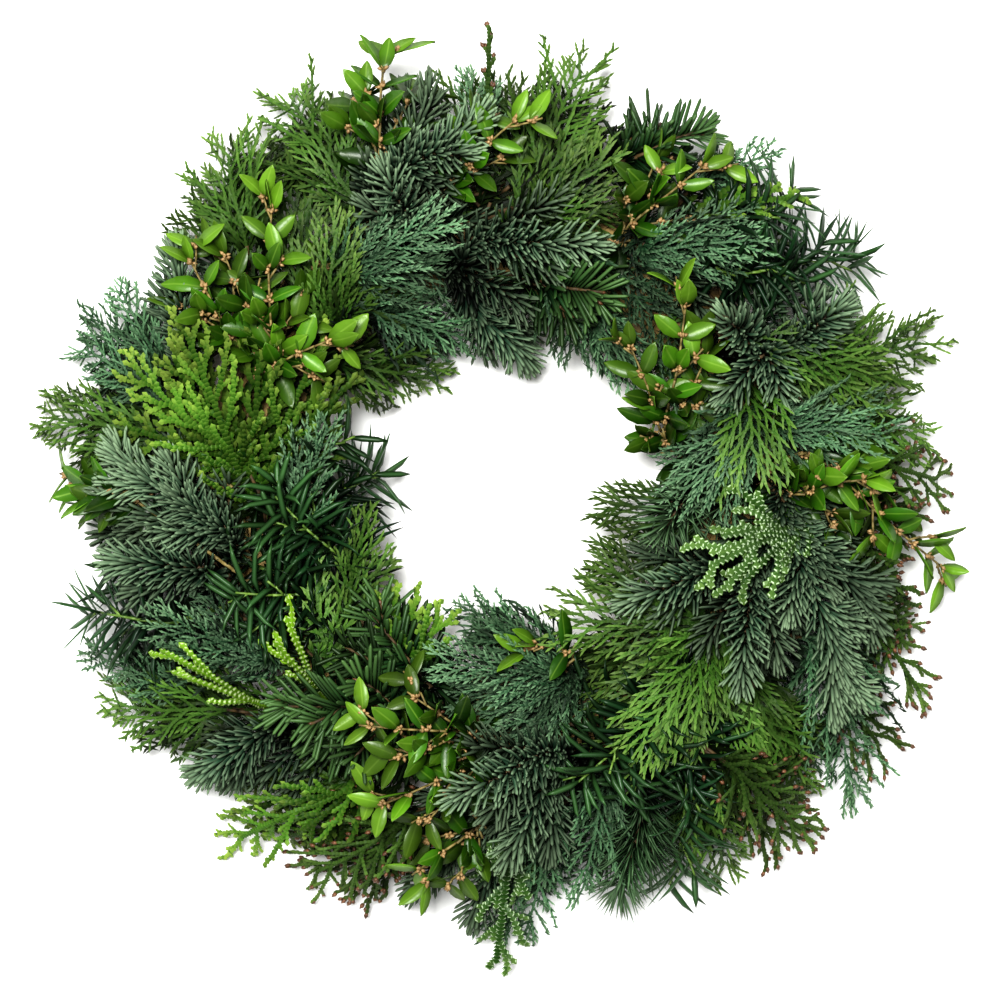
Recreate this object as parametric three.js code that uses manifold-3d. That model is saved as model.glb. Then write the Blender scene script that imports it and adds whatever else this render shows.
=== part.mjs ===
// A fresh evergreen wreath, lying on its back: cut greens bound round a straw ring with one long wire.
// Millimetres, +Z up. The origin is under the middle of the wreath, on the surface it lies on.

import * as THREE from "three";
import { mergeVertices } from "three/addons/utils/BufferGeometryUtils.js";
import Module from "manifold-3d";

const wasm = await Module();
wasm.setup();

// The straw ring is a 30 cm ring with a flat back. The hole of the wreath lies a little above its middle.
const RING = { x: 0, y: 11, radius: 125, halfWidth: 25, halfHeight: 24, middle: 20 };
const TURNS = 12;
const PITCH = 360 / TURNS;
const GROOVE = { half: 1.3, depth: 2.1 };
const WIRE = { radius: 0.5, overStems: 6.7, onBack: 0.9 };
const STEM = { width: 2.6, thick: 2.4, seatGap: 1.0, bound: 26 };
const BLADE_THICK = 0.85;
const CLEARANCE = 0.35;
const LOWEST = 1.5;

// The outer surface of the greens in section: highest at the crest, falling off to both sides of it.
const DOME = { crest: 137, inner: 72, outer: 84, low: 10, high: 68 };

// How each kind of green is cut: millimetres between its teeth, degrees that they lean from the rib and
// fold up beside it, and how many needles or leaves stand up out of each stem.
const KINDS = {
  noble_fir: { cut: "needles", spacing: 12.4, lean: 60, fold: 30, colour: "#4f7268", tufts: 1 },
  nordmann_fir: { cut: "needles", spacing: 11, lean: 56, fold: 12, colour: "#1f4a22", tufts: 1 },
  pine: { cut: "needles", spacing: 10, lean: 34, fold: 24, colour: "#5b7a5c", tufts: 1 },
  yew: { cut: "lances", spacing: 15.5, lean: 48, fold: 14, colour: "#17351f", tufts: 0 },
  green_cypress: { cut: "twigs", spacing: 20, lean: 42, fold: -8, colour: "#3d7a22", tufts: 0 },
  blue_cypress: { cut: "twigs", spacing: 19, lean: 38, fold: -6, colour: "#3f6f5c", tufts: 0 },
  tipped_cypress: { cut: "twigs", spacing: 20, lean: 40, fold: -6, colour: "#3c5a2c", tufts: 0 },
  lime_thuja: { cut: "lobes", spacing: 22, lean: 44, fold: -8, colour: "#6f9a2b", tufts: 0 },
  hiba: { cut: "lobes", spacing: 22, lean: 46, fold: -8, colour: "#5f8f3c", tufts: 0 },
  box: { cut: "leaves", spacing: 21, lean: 50, fold: 12, colour: "#5a8f1e", tufts: 1 },
};

// The sprays, bunch by bunch. Each is [from x, from y, to x, to y, spread]: where it comes out of
// the greens round it, where its tip ends, and how wide it is.
const BUNCHES = {
  box_top_left: ["box", [-60, 168, -55, 232, 38]],
  noble_fir_top: ["noble_fir", [-57, 158, -3, 193, 46]],
  noble_fir_crown: ["noble_fir", [-41, 131, -64, 170, 32]],
  green_cypress_top_left: ["green_cypress", [-72, 152, -109, 207, 46]],
  box_top: ["box", [-28, 155, 14, 200, 44]],
  green_cypress_top: ["green_cypress", [13, 150, 36, 228, 54], [8, 128, 59, 176, 42]],
  noble_fir_under_top: ["noble_fir", [-15, 126, 57, 128, 38], [-14, 98, 20, 68, 30]],
  nordmann_fir_under_top: ["nordmann_fir", [13, 108, 62, 96, 28]],
  blue_cypress_top_left: ["blue_cypress", [-85, 107, -27, 139, 40], [-65, 94, -5, 78, 30]],
  box_top_right: ["box", [62, 134, 110, 176, 50]],
  nordmann_fir_top_right: ["nordmann_fir", [62, 170, 108, 193, 28]],
  blue_cypress_top_right: ["blue_cypress", [98, 157, 139, 176, 24], [70, 125, 130, 127, 36]],
  lime_thuja_top_right: ["lime_thuja", [100, 146, 156, 152, 18]],
  yew_top_right: ["yew", [112, 114, 194, 121, 50], [103, 132, 162, 152, 34]],
  blue_cypress_inner_top: ["blue_cypress", [43, 97, 70, 54, 30]],
  noble_fir_right: ["noble_fir", [125, 76, 102, 100, 34], [145, 78, 176, 102, 32]],
  box_inner_right: ["box", [84, 28, 88, 111, 40]],
  green_cypress_right: [
    "green_cypress", [136, 58, 223, 82, 54], [153, 48, 219, 32, 40], [124, 58, 122, 14, 54],
  ],
  blue_cypress_right: ["blue_cypress", [138, 37, 196, 34, 38], [126, 40, 92, -4, 42]],
  pine_inner_right: ["pine", [98, 8, 74, -26, 40]],
  hiba_right: ["hiba", [147, -11, 99, -36, 46]],
  box_right: ["box", [153, 22, 228, -50, 42], [140, 4, 194, 11, 36]],
  tipped_cypress_right: ["tipped_cypress", [176, 22, 226, 10, 44], [180, -28, 210, -73, 28]],
  noble_fir_low_right: ["noble_fir", [140, -6, 178, -106, 56]],
  noble_fir_inner_right: ["noble_fir", [110, -34, 54, -52, 38], [124, -32, 120, -101, 36]],
  green_cypress_low_right: ["green_cypress", [103, -60, 32, -63, 46], [105, -67, 65, -121, 46]],
  green_cypress_bottom_right: ["green_cypress", [105, -77, 120, -148, 46], [128, -98, 160, -151, 36]],
  blue_cypress_low_right: ["blue_cypress", [156, -72, 188, -147, 50]],
  tipped_cypress_low_right: ["tipped_cypress", [184, -53, 224, -99, 26]],
  tipped_cypress_bottom_right: ["tipped_cypress", [114, -132, 161, -182, 38]],
  green_cypress_bottom: ["green_cypress", [98, -142, 118, -190, 44]],
  yew_bottom_right: ["yew", [98, -107, 78, -202, 48], [85, -97, 30, -153, 44]],
  pine_bottom: ["pine", [72, -152, 59, -205, 32]],
  blue_cypress_bottom: ["blue_cypress", [52, -142, 38, -200, 34], [26, -160, 14, -227, 28]],
  hiba_bottom: ["hiba", [4, -158, -2, -242, 32]],
  noble_fir_bottom: ["noble_fir", [25, -125, -32, -148, 36], [26, -137, 3, -188, 38]],
  box_bottom_left: ["box", [-12, -116, -78, -104, 46], [-8, -129, -72, -152, 38]],
  box_bottom: ["box", [-12, -162, -50, -192, 38]],
  blue_cypress_inner_bottom: [
    "blue_cypress", [33, -88, -31, -76, 40], [30, -93, -5, -131, 34], [23, -72, -22, -52, 28],
  ],
  nordmann_fir_low_left: ["nordmann_fir", [-27, -100, -120, -98, 50], [-32, -96, -76, -48, 38]],
  lime_thuja_low_left: ["lime_thuja", [-115, -103, -170, -67, 26], [-88, -98, -105, -52, 34]],
  blue_cypress_low_left: ["blue_cypress", [-160, -92, -214, -78, 28], [-115, -80, -172, -58, 38]],
  green_cypress_low_left: ["green_cypress", [-140, -105, -197, -107, 46]],
  noble_fir_low_left: ["noble_fir", [-117, -116, -158, -140, 32]],
  lime_thuja_bottom_left: ["lime_thuja", [-75, -142, -139, -173, 48]],
  tipped_cypress_bottom_left: ["tipped_cypress", [-47, -160, -97, -193, 42]],
  box_left: ["box", [-190, 4, -223, 9, 32]],
  noble_fir_left: ["noble_fir", [-132, -20, -197, 32, 58], [-147, -36, -202, -29, 28]],
  yew_left: ["yew", [-76, -38, -122, 12, 46], [-88, -50, -146, -46, 40]],
  yew_low_left: ["yew", [-163, -61, -218, -54, 40]],
  lime_thuja_left: [
    "lime_thuja", [-125, 4, -150, 92, 46], [-119, 8, -86, 86, 38], [-128, 17, -185, 67, 38],
  ],
  green_cypress_left: ["green_cypress", [-172, 32, -232, 47, 44]],
  blue_cypress_left: ["blue_cypress", [-172, 52, -213, 84, 34], [-170, 67, -191, 113, 26]],
  noble_fir_top_left: ["noble_fir", [-155, 72, -165, 134, 36]],
  box_upper_left: ["box", [-130, 78, -160, 130, 36], [-114, 70, -110, 158, 38], [-124, 62, -72, 88, 38]],
  green_cypress_upper_left: ["green_cypress", [-127, 128, -140, 178, 58]],
  green_cypress_inner_left: ["green_cypress", [-87, 80, -80, 139, 34], [-86, 69, -30, 62, 34]],
  yew_inner_left: ["yew", [-84, 0, -47, 24, 36]],
};

// A repeatable stream of numbers from 0 to 1 for each spray.
function randomStream(seed) {
  let state = (seed * 2654435761) >>> 0;
  return () => {
    state = (state + 0x6d2b79f5) >>> 0;
    let t = Math.imul(state ^ (state >>> 15), state | 1);
    t ^= t + Math.imul(t ^ (t >>> 7), t | 61);
    return ((t ^ (t >>> 14)) >>> 0) / 4294967296;
  };
}

const radians = THREE.MathUtils.degToRad;
const smooth = (t) => THREE.MathUtils.smoothstep(t, 0, 1);

function solidOf(geometry) {
  const bare = new THREE.BufferGeometry();
  bare.setAttribute("position", geometry.getAttribute("position"));
  if (geometry.index) bare.setIndex(geometry.index);
  const merged = mergeVertices(bare, 1e-4);
  return new wasm.Manifold(
    new wasm.Mesh({
      numProp: 3,
      vertProperties: merged.attributes.position.array,
      triVerts: new Uint32Array(merged.index.array),
    }),
  );
}

function geometryOf(solid) {
  const mesh = solid.getMesh();
  const geometry = new THREE.BufferGeometry();
  geometry.setAttribute("position", new THREE.BufferAttribute(mesh.vertProperties, 3));
  geometry.setIndex(new THREE.BufferAttribute(mesh.triVerts, 1));
  geometry.computeVertexNormals();
  return geometry;
}

// A closed loop of sections, each joined to the next and the last to the first.
function loopGeometry(rings) {
  const sides = rings[0].length;
  const positions = rings.flat().flatMap((p) => [p.x, p.y, p.z]);
  const indices = [];
  for (let i = 0; i < rings.length; i++) {
    const next = ((i + 1) % rings.length) * sides;
    for (let j = 0; j < sides; j++) {
      const a = i * sides + j;
      const b = i * sides + ((j + 1) % sides);
      const c = next + ((j + 1) % sides);
      const d = next + j;
      indices.push(a, c, b, a, d, c);
    }
  }
  const geometry = new THREE.BufferGeometry();
  geometry.setAttribute("position", new THREE.Float32BufferAttribute(positions, 3));
  geometry.setIndex(indices);
  return geometry;
}

// A point of the ring's neighbourhood: round the ring, round its section, and away from its core.
function aroundRing(turnDegrees, sectionDegrees, away) {
  const turn = radians(turnDegrees);
  const section = radians(sectionDegrees);
  const r = RING.radius + away * Math.cos(section);
  const z = RING.middle + away * Math.sin(section);
  return new THREE.Vector3(RING.x + r * Math.cos(turn), RING.y + r * Math.sin(turn), z);
}

function coreNear(point) {
  const flat = new THREE.Vector2(point.x - RING.x, point.y - RING.y).setLength(RING.radius);
  return new THREE.Vector3(RING.x + flat.x, RING.y + flat.y, RING.middle);
}

// The straw ring: an oval section with a flat back, and a groove across the back at each turn of wire.
function strawRing() {
  const cornerAngle = THREE.MathUtils.radToDeg(Math.asin(RING.middle / RING.halfHeight));
  const sectionPoints = 7;
  const rings = [];
  for (let turn = 0; turn < TURNS; turn++) {
    const columns = [-GROOVE.half, 0, GROOVE.half, PITCH / 2];
    for (const column of columns) {
      const turnAngle = radians(turn * PITCH + column);
      const ring = [];
      for (let i = 0; i < sectionPoints; i++) {
        const angle = radians(-cornerAngle + (i * (180 + 2 * cornerAngle)) / (sectionPoints - 1));
        let across = RING.halfWidth * Math.cos(angle);
        let z = Math.max(0, RING.middle + RING.halfHeight * Math.sin(angle));
        if (column === 0 && (i === 0 || i === sectionPoints - 1)) {
          across -= Math.sign(across) * GROOVE.depth * 0.6;
          z += GROOVE.depth;
        }
        const r = RING.radius + across;
        ring.push(new THREE.Vector3(RING.x + r * Math.cos(turnAngle), RING.y + r * Math.sin(turnAngle), z));
      }
      rings.push(ring);
    }
  }
  return loopGeometry(rings);
}

const ringMesh = new THREE.Mesh(strawRing(), new THREE.MeshBasicMaterial({ side: THREE.DoubleSide }));
const ray = new THREE.Raycaster();

// How far the straw reaches from the core in a direction.
function strawReach(turnDegrees, sectionDegrees) {
  const outside = aroundRing(turnDegrees, sectionDegrees, 60);
  const core = aroundRing(turnDegrees, sectionDegrees, 0);
  ray.set(outside, core.clone().sub(outside).normalize());
  const hit = ray.intersectObject(ringMesh)[0];
  return hit ? 60 - hit.distance : RING.halfWidth;
}

// The binding wire: straight across the back in its groove, then over the stems to the next groove.
function bindingWire() {
  const stations = [];
  const over = [-10, 18, 50, 82, 114, 146, 172, 191];
  const flatHalf = RING.halfWidth * Math.sqrt(1 - (RING.middle / RING.halfHeight) ** 2);
  const backCorner = flatHalf - GROOVE.depth * 0.6;
  for (let turn = 0; turn < TURNS; turn++) {
    const start = turn * PITCH;
    for (const [across, z] of [[backCorner + 0.4, WIRE.onBack], [backCorner + 3.4, 2.9]]) {
      const r = RING.radius + across;
      const angle = radians(start);
      stations.push(new THREE.Vector3(RING.x + r * Math.cos(angle), RING.y + r * Math.sin(angle), z));
    }
    for (const section of over) {
      const share = THREE.MathUtils.clamp(section / 180, 0, 1);
      const angle = start + PITCH * share;
      const onSide = section < 0 || section > 180;
      const away = strawReach(angle, section) + (onSide ? WIRE.overStems * 0.55 : WIRE.overStems);
      stations.push(aroundRing(angle, section, away));
    }
    for (const [across, z] of [[-backCorner - 3.4, 2.9], [-backCorner - 0.4, WIRE.onBack]]) {
      const r = RING.radius + across;
      const angle = radians(start + PITCH);
      stations.push(new THREE.Vector3(RING.x + r * Math.cos(angle), RING.y + r * Math.sin(angle), z));
    }
  }
  const count = stations.length;
  const rings = stations.map((point, i) => {
    const before = stations[(i + count - 1) % count];
    const after = stations[(i + 1) % count];
    const along = after.clone().sub(before).normalize();
    const out = point.clone().sub(coreNear(point)).normalize();
    const side = along.clone().cross(out).normalize();
    const up = side.clone().cross(along).normalize();
    return [90, 210, 330].map((degrees) =>
      point
        .clone()
        .addScaledVector(side, WIRE.radius * Math.cos(radians(degrees)))
        .addScaledVector(up, WIRE.radius * Math.sin(radians(degrees))),
    );
  });
  return loopGeometry(rings);
}

// Each turn of wire crosses eight seats for a stem. A bunch takes one of the free seats nearest to it.
const SEATS = [17, 35, 56, 78, 101, 124, 145, 163];
const taken = new Set();

function seatsFor(sprays, isClear) {
  const mean = (k) => sprays.reduce((sum, s) => sum + s[k], 0) / sprays.length;
  const base = new THREE.Vector2(mean(0) - RING.x, mean(1) - RING.y);
  const tip = new THREE.Vector2(mean(2) - RING.x, mean(3) - RING.y);
  const clockwise = base.cross(tip) <= 0 ? -1 : 1;
  const behind = base.clone().rotateAround(new THREE.Vector2(), radians(-clockwise * 15));
  const seats = [];
  for (let turn = 0; turn < TURNS; turn++) {
    SEATS.forEach((section, row) => {
      const angle = turn * PITCH + (PITCH * section) / 180;
      const r = RING.radius + RING.halfWidth * 1.5 * Math.cos(radians(section));
      const at = new THREE.Vector2(r * Math.cos(radians(angle)), r * Math.sin(radians(angle)));
      const away = at.distanceTo(behind);
      seats.push({ key: turn + ":" + row, angle, section, away, clockwise });
    });
  }
  const near = seats.filter((seat) => seat.away < 75 && !taken.has(seat.key));
  near.sort((a, b) => a.away - b.away);
  return near.filter(isClear).slice(0, 5);
}

function domeHeight(x, y) {
  const r = Math.hypot(x - RING.x, y - RING.y);
  const share = r < DOME.crest ? (DOME.crest - r) / DOME.inner : (r - DOME.crest) / DOME.outer;
  const round = Math.sqrt(Math.max(0, 1 - Math.min(1, share) ** 2.4));
  return DOME.low + (DOME.high - DOME.low) * round;
}

// Degrees along the ring from where the wire crosses a stem, and how far it has risen off the straw there.
const RISE = [[-5, 0], [-2.5, 0], [0, 0], [2.5, 0], [5, 0.8], [10, 6]];

// The line of a stem: flat on the straw under the wire, then up through the greens to its tip.
// A side stem starts inside the first one, past the wire.
function stemCurve(spray, seat, member, fit) {
  const [fromX, fromY, toX, toY] = spray;
  const points = [];
  for (const [step, rise] of RISE.slice(member ? 3 : 0)) {
    const angle = seat.angle + seat.clockwise * step;
    const away = strawReach(angle, seat.section) + STEM.seatGap + STEM.thick / 2 + rise;
    points.push(aroundRing(angle, seat.section, away));
  }
  const base = new THREE.Vector3(fromX, fromY, domeHeight(fromX, fromY) - fit.dive + fit.lift * 0.7);
  const tip = new THREE.Vector3(toX, toY, 0).lerp(base, 1 - fit.draw);
  tip.z = domeHeight(tip.x, tip.y) + 1 + fit.lift;
  const middle = base.clone().lerp(tip, 0.5);
  middle.z = (base.z + fit.dive + tip.z + domeHeight(middle.x, middle.y) * 2 + fit.lift * 2) / 4;
  points.push(base, middle, tip);
  return new THREE.CatmullRomCurve3(points, false, "centripetal");
}

// Which way a blade faces at a place: off the straw near it, and off the dome of the greens further out.
function facing(point) {
  const core = coreNear(point);
  const off = point.clone().sub(core);
  const free = smooth((off.length() - RING.halfWidth - 3) / 14);
  const outward = new THREE.Vector3(point.x - RING.x, point.y - RING.y, 0);
  const tilt = THREE.MathUtils.clamp((outward.length() - DOME.crest) / 75, -1, 1) * 0.55;
  const dome = outward.setLength(tilt).add(new THREE.Vector3(0, 0, 1)).normalize();
  return off.normalize().lerp(dome, free).normalize();
}

function frameAt(curve, length, u, roll) {
  const share = THREE.MathUtils.clamp(u / length, 0, 1);
  const point = curve.getPointAt(share);
  const along = curve.getTangentAt(share);
  point.addScaledVector(along, u - share * length);
  const side = along.clone().cross(facing(point)).normalize();
  side.applyAxisAngle(along, radians(roll) * smooth((share - 0.25) / 0.25));
  const up = side.clone().cross(along).normalize();
  return { point, along, side, up };
}

// What stands out from the rib at one place, as points from its near edge round its tip to its far edge.
const CUTS = {
  needles: () => [[1, 0]],
  lances: () => [[0.5, -1.7], [1, 0]],
  leaves: (reach) => [[0.5, -0.22 * reach], [1, 0], [0.5, 0.22 * reach]],
  lobes: () => [[0.62, -3.3], [0.66, -1.1], [1, -1], [0.97, 1.5]],
  twigs: (reach, i) => (i % 2 ? [[0.7, -3.9], [0.58, -0.9], [1, 0]] : [[1, 0], [0.56, 0.7], [0.76, 3.9]]),
};
const ROOTS = { needles: 1.5, lances: 1.9, leaves: 1.1, lobes: 3.4, twigs: 2.2 };

// One side of a blade: the points along the rib, and for each tooth its own points between two of them.
function sideOf(kind, plan, side, random) {
  const rib = [];
  const teeth = [];
  const edge = (u) => side * (plan.stem / 2) * (1 - 0.45 * Math.min(1, u / plan.length));
  const bareSteps = Math.max(1, Math.round((plan.bare - 4 - plan.from) / 19));
  for (let i = 0; i < bareSteps; i++) {
    const u = plan.from + (i * (plan.bare - 4 - plan.from)) / bareSteps;
    rib.push([u, edge(u)]);
  }
  const leafy = plan.length - plan.bare;
  const count = Math.max(3, Math.round(leafy / plan.spacing));
  const gap = leafy / count;
  for (let i = 0; i < count; i++) {
    const u = plan.bare + gap * (i + (side > 0 || kind.cut === "leaves" ? 0.25 : 0.6));
    const share = (u - plan.bare) / leafy;
    const even = 0.75 + 0.25 * Math.sin(Math.PI * share);
    const bulge = kind.cut === "needles" ? even : Math.sin(Math.PI * (0.2 + 0.68 * share));
    const half = (plan.spread / 2) * bulge * (0.88 + 0.24 * random());
    const reach = half / Math.sin(radians(kind.lean));
    const lean = radians(kind.lean * (1 - 0.45 * share ** 2) + 8 * (random() - 0.5));
    const out = [Math.cos(lean), side * Math.sin(lean)];
    const across = [Math.sin(lean), -side * Math.cos(lean)];
    const at = ([f, w]) => [
      u + out[0] * reach * f + across[0] * w,
      edge(u) + out[1] * reach * f + across[1] * w,
    ];
    const root = Math.min(gap * 0.4, ROOTS[kind.cut]);
    rib.push([u - root, edge(u)], [u + root, edge(u)]);
    teeth.push({ from: rib.length - 2, points: CUTS[kind.cut](reach, i).map(at) });
  }
  return { rib, teeth };
}

// The flat pattern of a blade as triangles: a strip between its two ribs, and each tooth by itself,
// so that nothing spans a bend. The outline is kept to close the edge.
function pattern(left, right, tip) {
  const points = [];
  const triangles = [];
  const outline = [];
  const add = (point) => points.push(point) - 1;
  const chains = [left, right].map(({ rib, teeth }) => {
    const chain = rib.map(add);
    const edge = [];
    chain.forEach((index, k) => {
      edge.push(index);
      const tooth = teeth.find((found) => found.from === k);
      if (!tooth) return;
      const corners = [index, ...tooth.points.map(add), chain[k + 1]];
      edge.push(...corners.slice(1, -1));
      const flat = corners.map((corner) => new THREE.Vector2(...points[corner]));
      for (const [a, b, c] of THREE.ShapeUtils.triangulateShape(flat, [])) {
        const face = [corners[a], corners[b], corners[c]];
        const clockwise = flat[b].clone().sub(flat[a]).cross(flat[c].clone().sub(flat[a])) < 0;
        triangles.push(clockwise ? face.reverse() : face);
      }
    });
    return { chain, edge };
  });
  const end = tip ? [add(tip)] : [];
  const [a, b] = chains.map(({ chain }) => [...chain, ...end]);
  let i = 0;
  let j = 0;
  while (i < a.length - 1 || j < b.length - 1) {
    const leftIsNext = i < a.length - 1 && points[a[i + 1]][0] <= points[b[j + 1]]?.[0];
    const advanceLeft = j === b.length - 1 || leftIsNext;
    const next = advanceLeft ? a[i + 1] : b[j + 1];
    if (next !== a[i] && next !== b[j]) triangles.push([a[i], b[j], next]);
    if (advanceLeft) i += 1;
    else j += 1;
  }
  outline.push(...chains[0].edge, ...end, ...chains[1].edge.slice().reverse());
  return { points, triangles, outline };
}

// A flat pattern given two faces and an edge, each corner put where the placing function says.
function sheet({ points, triangles, outline }, placed3d) {
  const count = points.length;
  const positions = [1, -1].flatMap((face) => points.flatMap(([u, v]) => placed3d(u, v, face).toArray()));
  const indices = [];
  for (const [a, b, c] of triangles) {
    indices.push(a, b, c, a + count, c + count, b + count);
  }
  outline.forEach((a, k) => {
    const b = outline[(k + 1) % outline.length];
    indices.push(a, b, a + count, b, b + count, a + count);
  });
  const geometry = new THREE.BufferGeometry();
  geometry.setAttribute("position", new THREE.Float32BufferAttribute(positions, 3));
  geometry.setIndex(indices);
  return geometry;
}

// A whole spray as one thin blade cut to the rib, bent along its stem and folded up or down at the rib.
// Only its leafy part, or only its bound part, can be asked for.
function blade(kind, spray, seat, member, fit, extra, seed, only = "all") {
  const curve = stemCurve(spray, seat, member, fit);
  const length = curve.getLength();
  const visible = Math.hypot(spray[2] - spray[0], spray[3] - spray[1]);
  const plan = {
    length,
    bare: Math.max(member ? 12 : 24, length - visible * 1.08),
    spacing: kind.spacing,
    spread: spray[4] * fit.narrow,
    from: 0,
    stem: STEM.width - fit.slim - (member ? 0.3 + 0.2 * member : 0),
    thick: STEM.thick - fit.slim - (member ? 0.3 + 0.2 * member : 0),
  };
  if (only === "leafy") plan.from = plan.bare - 6;
  let left = sideOf(kind, plan, 1, randomStream(seed));
  let right = sideOf(kind, plan, -1, randomStream(seed + 50));
  let tip = [length + (kind.cut === "needles" ? 4 : 2), 0];
  if (only === "bound") {
    [left, right] = [1, -1].map((side) => {
      const rib = [0, 0.5, 1].map((k) => [k * STEM.bound, (side * plan.stem) / 2]);
      return { rib, teeth: [] };
    });
    tip = null;
  }
  const fold = radians(kind.fold);
  const geometry = sheet(pattern(left, right, tip), (u, v, face) => {
    const { point, side, up } = frameAt(curve, length, u, fit.roll);
    const off = Math.max(0, Math.abs(v) - plan.stem / 2);
    const thick = plan.thick + (BLADE_THICK - plan.thick) * Math.min(1, off / 3.5) + extra;
    point.addScaledVector(side, -v + Math.sign(v) * off * (1 - Math.cos(fold)));
    return point.addScaledVector(up, off * Math.sin(fold) + (face * thick) / 2);
  });
  return { solid: solidOf(geometry), curve, length, plan };
}

// A three-sided needle or a leaf with a pointed oval outline, from a root inside the stem to its tip.
function needle(root, direction, side, reach, half) {
  const up = side.clone().cross(direction).normalize();
  const corners = [90, 210, 330].map((degrees) =>
    root
      .clone()
      .addScaledVector(side, half * Math.cos(radians(degrees)))
      .addScaledVector(up, half * Math.sin(radians(degrees))),
  );
  const tip = root.clone().addScaledVector(direction, reach);
  const geometry = new THREE.BufferGeometry().setFromPoints([...corners, tip]);
  geometry.setIndex([0, 1, 2, 0, 3, 1, 1, 3, 2, 2, 3, 0]);
  return geometry;
}

function boxLeaf(root, direction, up, reach, extra) {
  const side = direction.clone().cross(up).normalize();
  const points = [[0, 0], [reach * 0.46, -reach * 0.22], [reach, 0], [reach * 0.46, reach * 0.22]];
  const leaf = { points, triangles: [[0, 1, 2], [0, 2, 3]], outline: [3, 2, 1, 0] };
  return sheet(leaf, (u, v, face) => {
    const arch = (-0.12 * u * u) / reach + 0.16 * Math.abs(v);
    const half = (face * (BLADE_THICK + extra)) / 2;
    const point = root.clone().addScaledVector(direction, u).addScaledVector(side, -v);
    return point.addScaledVector(up, arch + half);
  });
}

// What stands up out of a stem besides its blade: needles on a fir, and leaves on box.
function standing(kind, made, fit, extra, seed) {
  const random = randomStream(seed + 200);
  const found = [];
  const leafy = made.length - made.plan.bare;
  for (let i = 0; i < kind.tufts; i++) {
    const u = made.plan.bare + (leafy * (i + 0.55)) / kind.tufts;
    const { point, along, side, up } = frameAt(made.curve, made.length, u, fit.roll);
    const turn = radians((i % 2 ? 1 : -1) * (14 + 16 * random()));
    const direction = up.clone().multiplyScalar(0.8).addScaledVector(along, 0.62);
    direction.applyAxisAngle(along, turn).normalize();
    const reach = (made.plan.spread / 2) * (0.66 + 0.2 * random());
    const face = side.clone().cross(direction);
    if (kind.cut === "leaves") found.push(boxLeaf(point, direction, face, reach * 1.25, extra));
    else found.push(needle(point, direction, side, reach, 0.95 + extra / 2));
  }
  return found;
}

const fits = [];
for (const [narrow, draw] of [[1, 1], [0.85, 0.9], [0.7, 0.8]]) {
  for (const dive of [15, 22]) {
    for (const lift of [0, 4, -4, 8, -8, 12, 16, 21]) {
      for (const roll of [0, 18, -18, 36, -36]) fits.push({ narrow, draw, lift, roll, dive, slim: 0 });
    }
  }
}

const placed = [];

function place(solid) {
  placed.push({ solid, box: solid.boundingBox() });
}

function crosses(solid, others) {
  const box = solid.boundingBox();
  return others.some((other) => {
    const apart = [0, 1, 2].some((k) => box.max[k] < other.box.min[k] || other.box.max[k] < box.min[k]);
    if (apart) return false;
    const common = solid.intersect(other.solid);
    const touching = !common.isEmpty();
    common.delete();
    return touching;
  });
}

// Whether a trial solid is above the surface and clear of the others. The trial is thrown away.
function clearOf(others, trial) {
  const clear = trial.boundingBox().min[2] > LOWEST && !crosses(trial, others);
  trial.delete();
  return clear;
}

// The one body of a fused bunch, with slivers merged until no two corners are a hair apart.
function tidied(solid) {
  for (const tolerance of [0.03, 0.06, 0.1, 0.15]) {
    const bodies = solid.simplify(tolerance).decompose();
    const body = bodies.sort((a, b) => b.volume() - a.volume())[0];
    const { vertProperties } = body.getMesh();
    const corners = new Set();
    for (let i = 0; i < vertProperties.length; i += 3) {
      corners.add([0, 1, 2].map((k) => Math.round(vertProperties[i + k] * 300)).join(" "));
    }
    if (corners.size === vertProperties.length / 3) return body;
  }
  return null;
}

// Each spray is lifted, turned or drawn in, in that order, until it lies clear of the bunches before it.
function bunch(name, index) {
  const [kindName, ...sprays] = BUNCHES[name];
  const kind = KINDS[kindName];
  const notes = [];
  const wide = 2 * CLEARANCE;
  const boundClear = (s) => clearOf(placed, blade(kind, sprays[0], s, 0, fits[0], wide, 1, "bound").solid);
  const seats = seatsFor(sprays, boundClear);
  let seat = null;
  let whole = null;
  sprays.forEach((spray, member) => {
    const seed = index * 7 + member + 1;
    const siblings = whole ? [{ solid: whole, box: whole.boundingBox() }] : [];
    const order = whole ? member : 0;
    const clear = (s, f) =>
      clearOf(placed, blade(kind, spray, s, order, f, wide, seed).solid) &&
      clearOf(siblings, blade(kind, spray, s, order, f, 0, seed, "leafy").solid);
    let fit = null;
    for (const candidate of seat ? [seat] : seats) {
      fit = fits.find((f) => clear(candidate, f));
      if (fit) seat = candidate;
      if (fit) break;
    }
    notes.push(fit ? { ...fit, ...seat } : "no clear place");
    if (!fit) return;
    const before = whole;
    let made = null;
    for (const slim of [0, 0.05, 0.1, 0.15, 0.2, 0.3, 0.4]) {
      made = blade(kind, spray, seat, order, { ...fit, slim }, 0, seed);
      whole = tidied(before ? before.add(made.solid) : made.solid);
      if (whole) break;
    }
    whole = whole || before;
    const trial = standing(kind, made, fit, wide, seed);
    const trim = standing(kind, made, fit, 0, seed).filter((g, i) => clearOf(placed, solidOf(trial[i])));
    for (const part of trim) whole = tidied(whole.add(solidOf(part))) || whole;
  });
  if (!whole) return { notes };
  taken.add(seat.key);
  place(whole);
  return { whole, notes };
}

function materialOf(colour, roughness, metalness) {
  return new THREE.MeshStandardMaterial({ color: colour, roughness, metalness });
}

const wreath = new THREE.Group();

function addPiece(name, geometry, material, notes) {
  const mesh = new THREE.Mesh(geometry, material);
  mesh.name = name;
  mesh.userData.fits = notes;
  wreath.add(mesh);
}

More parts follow.
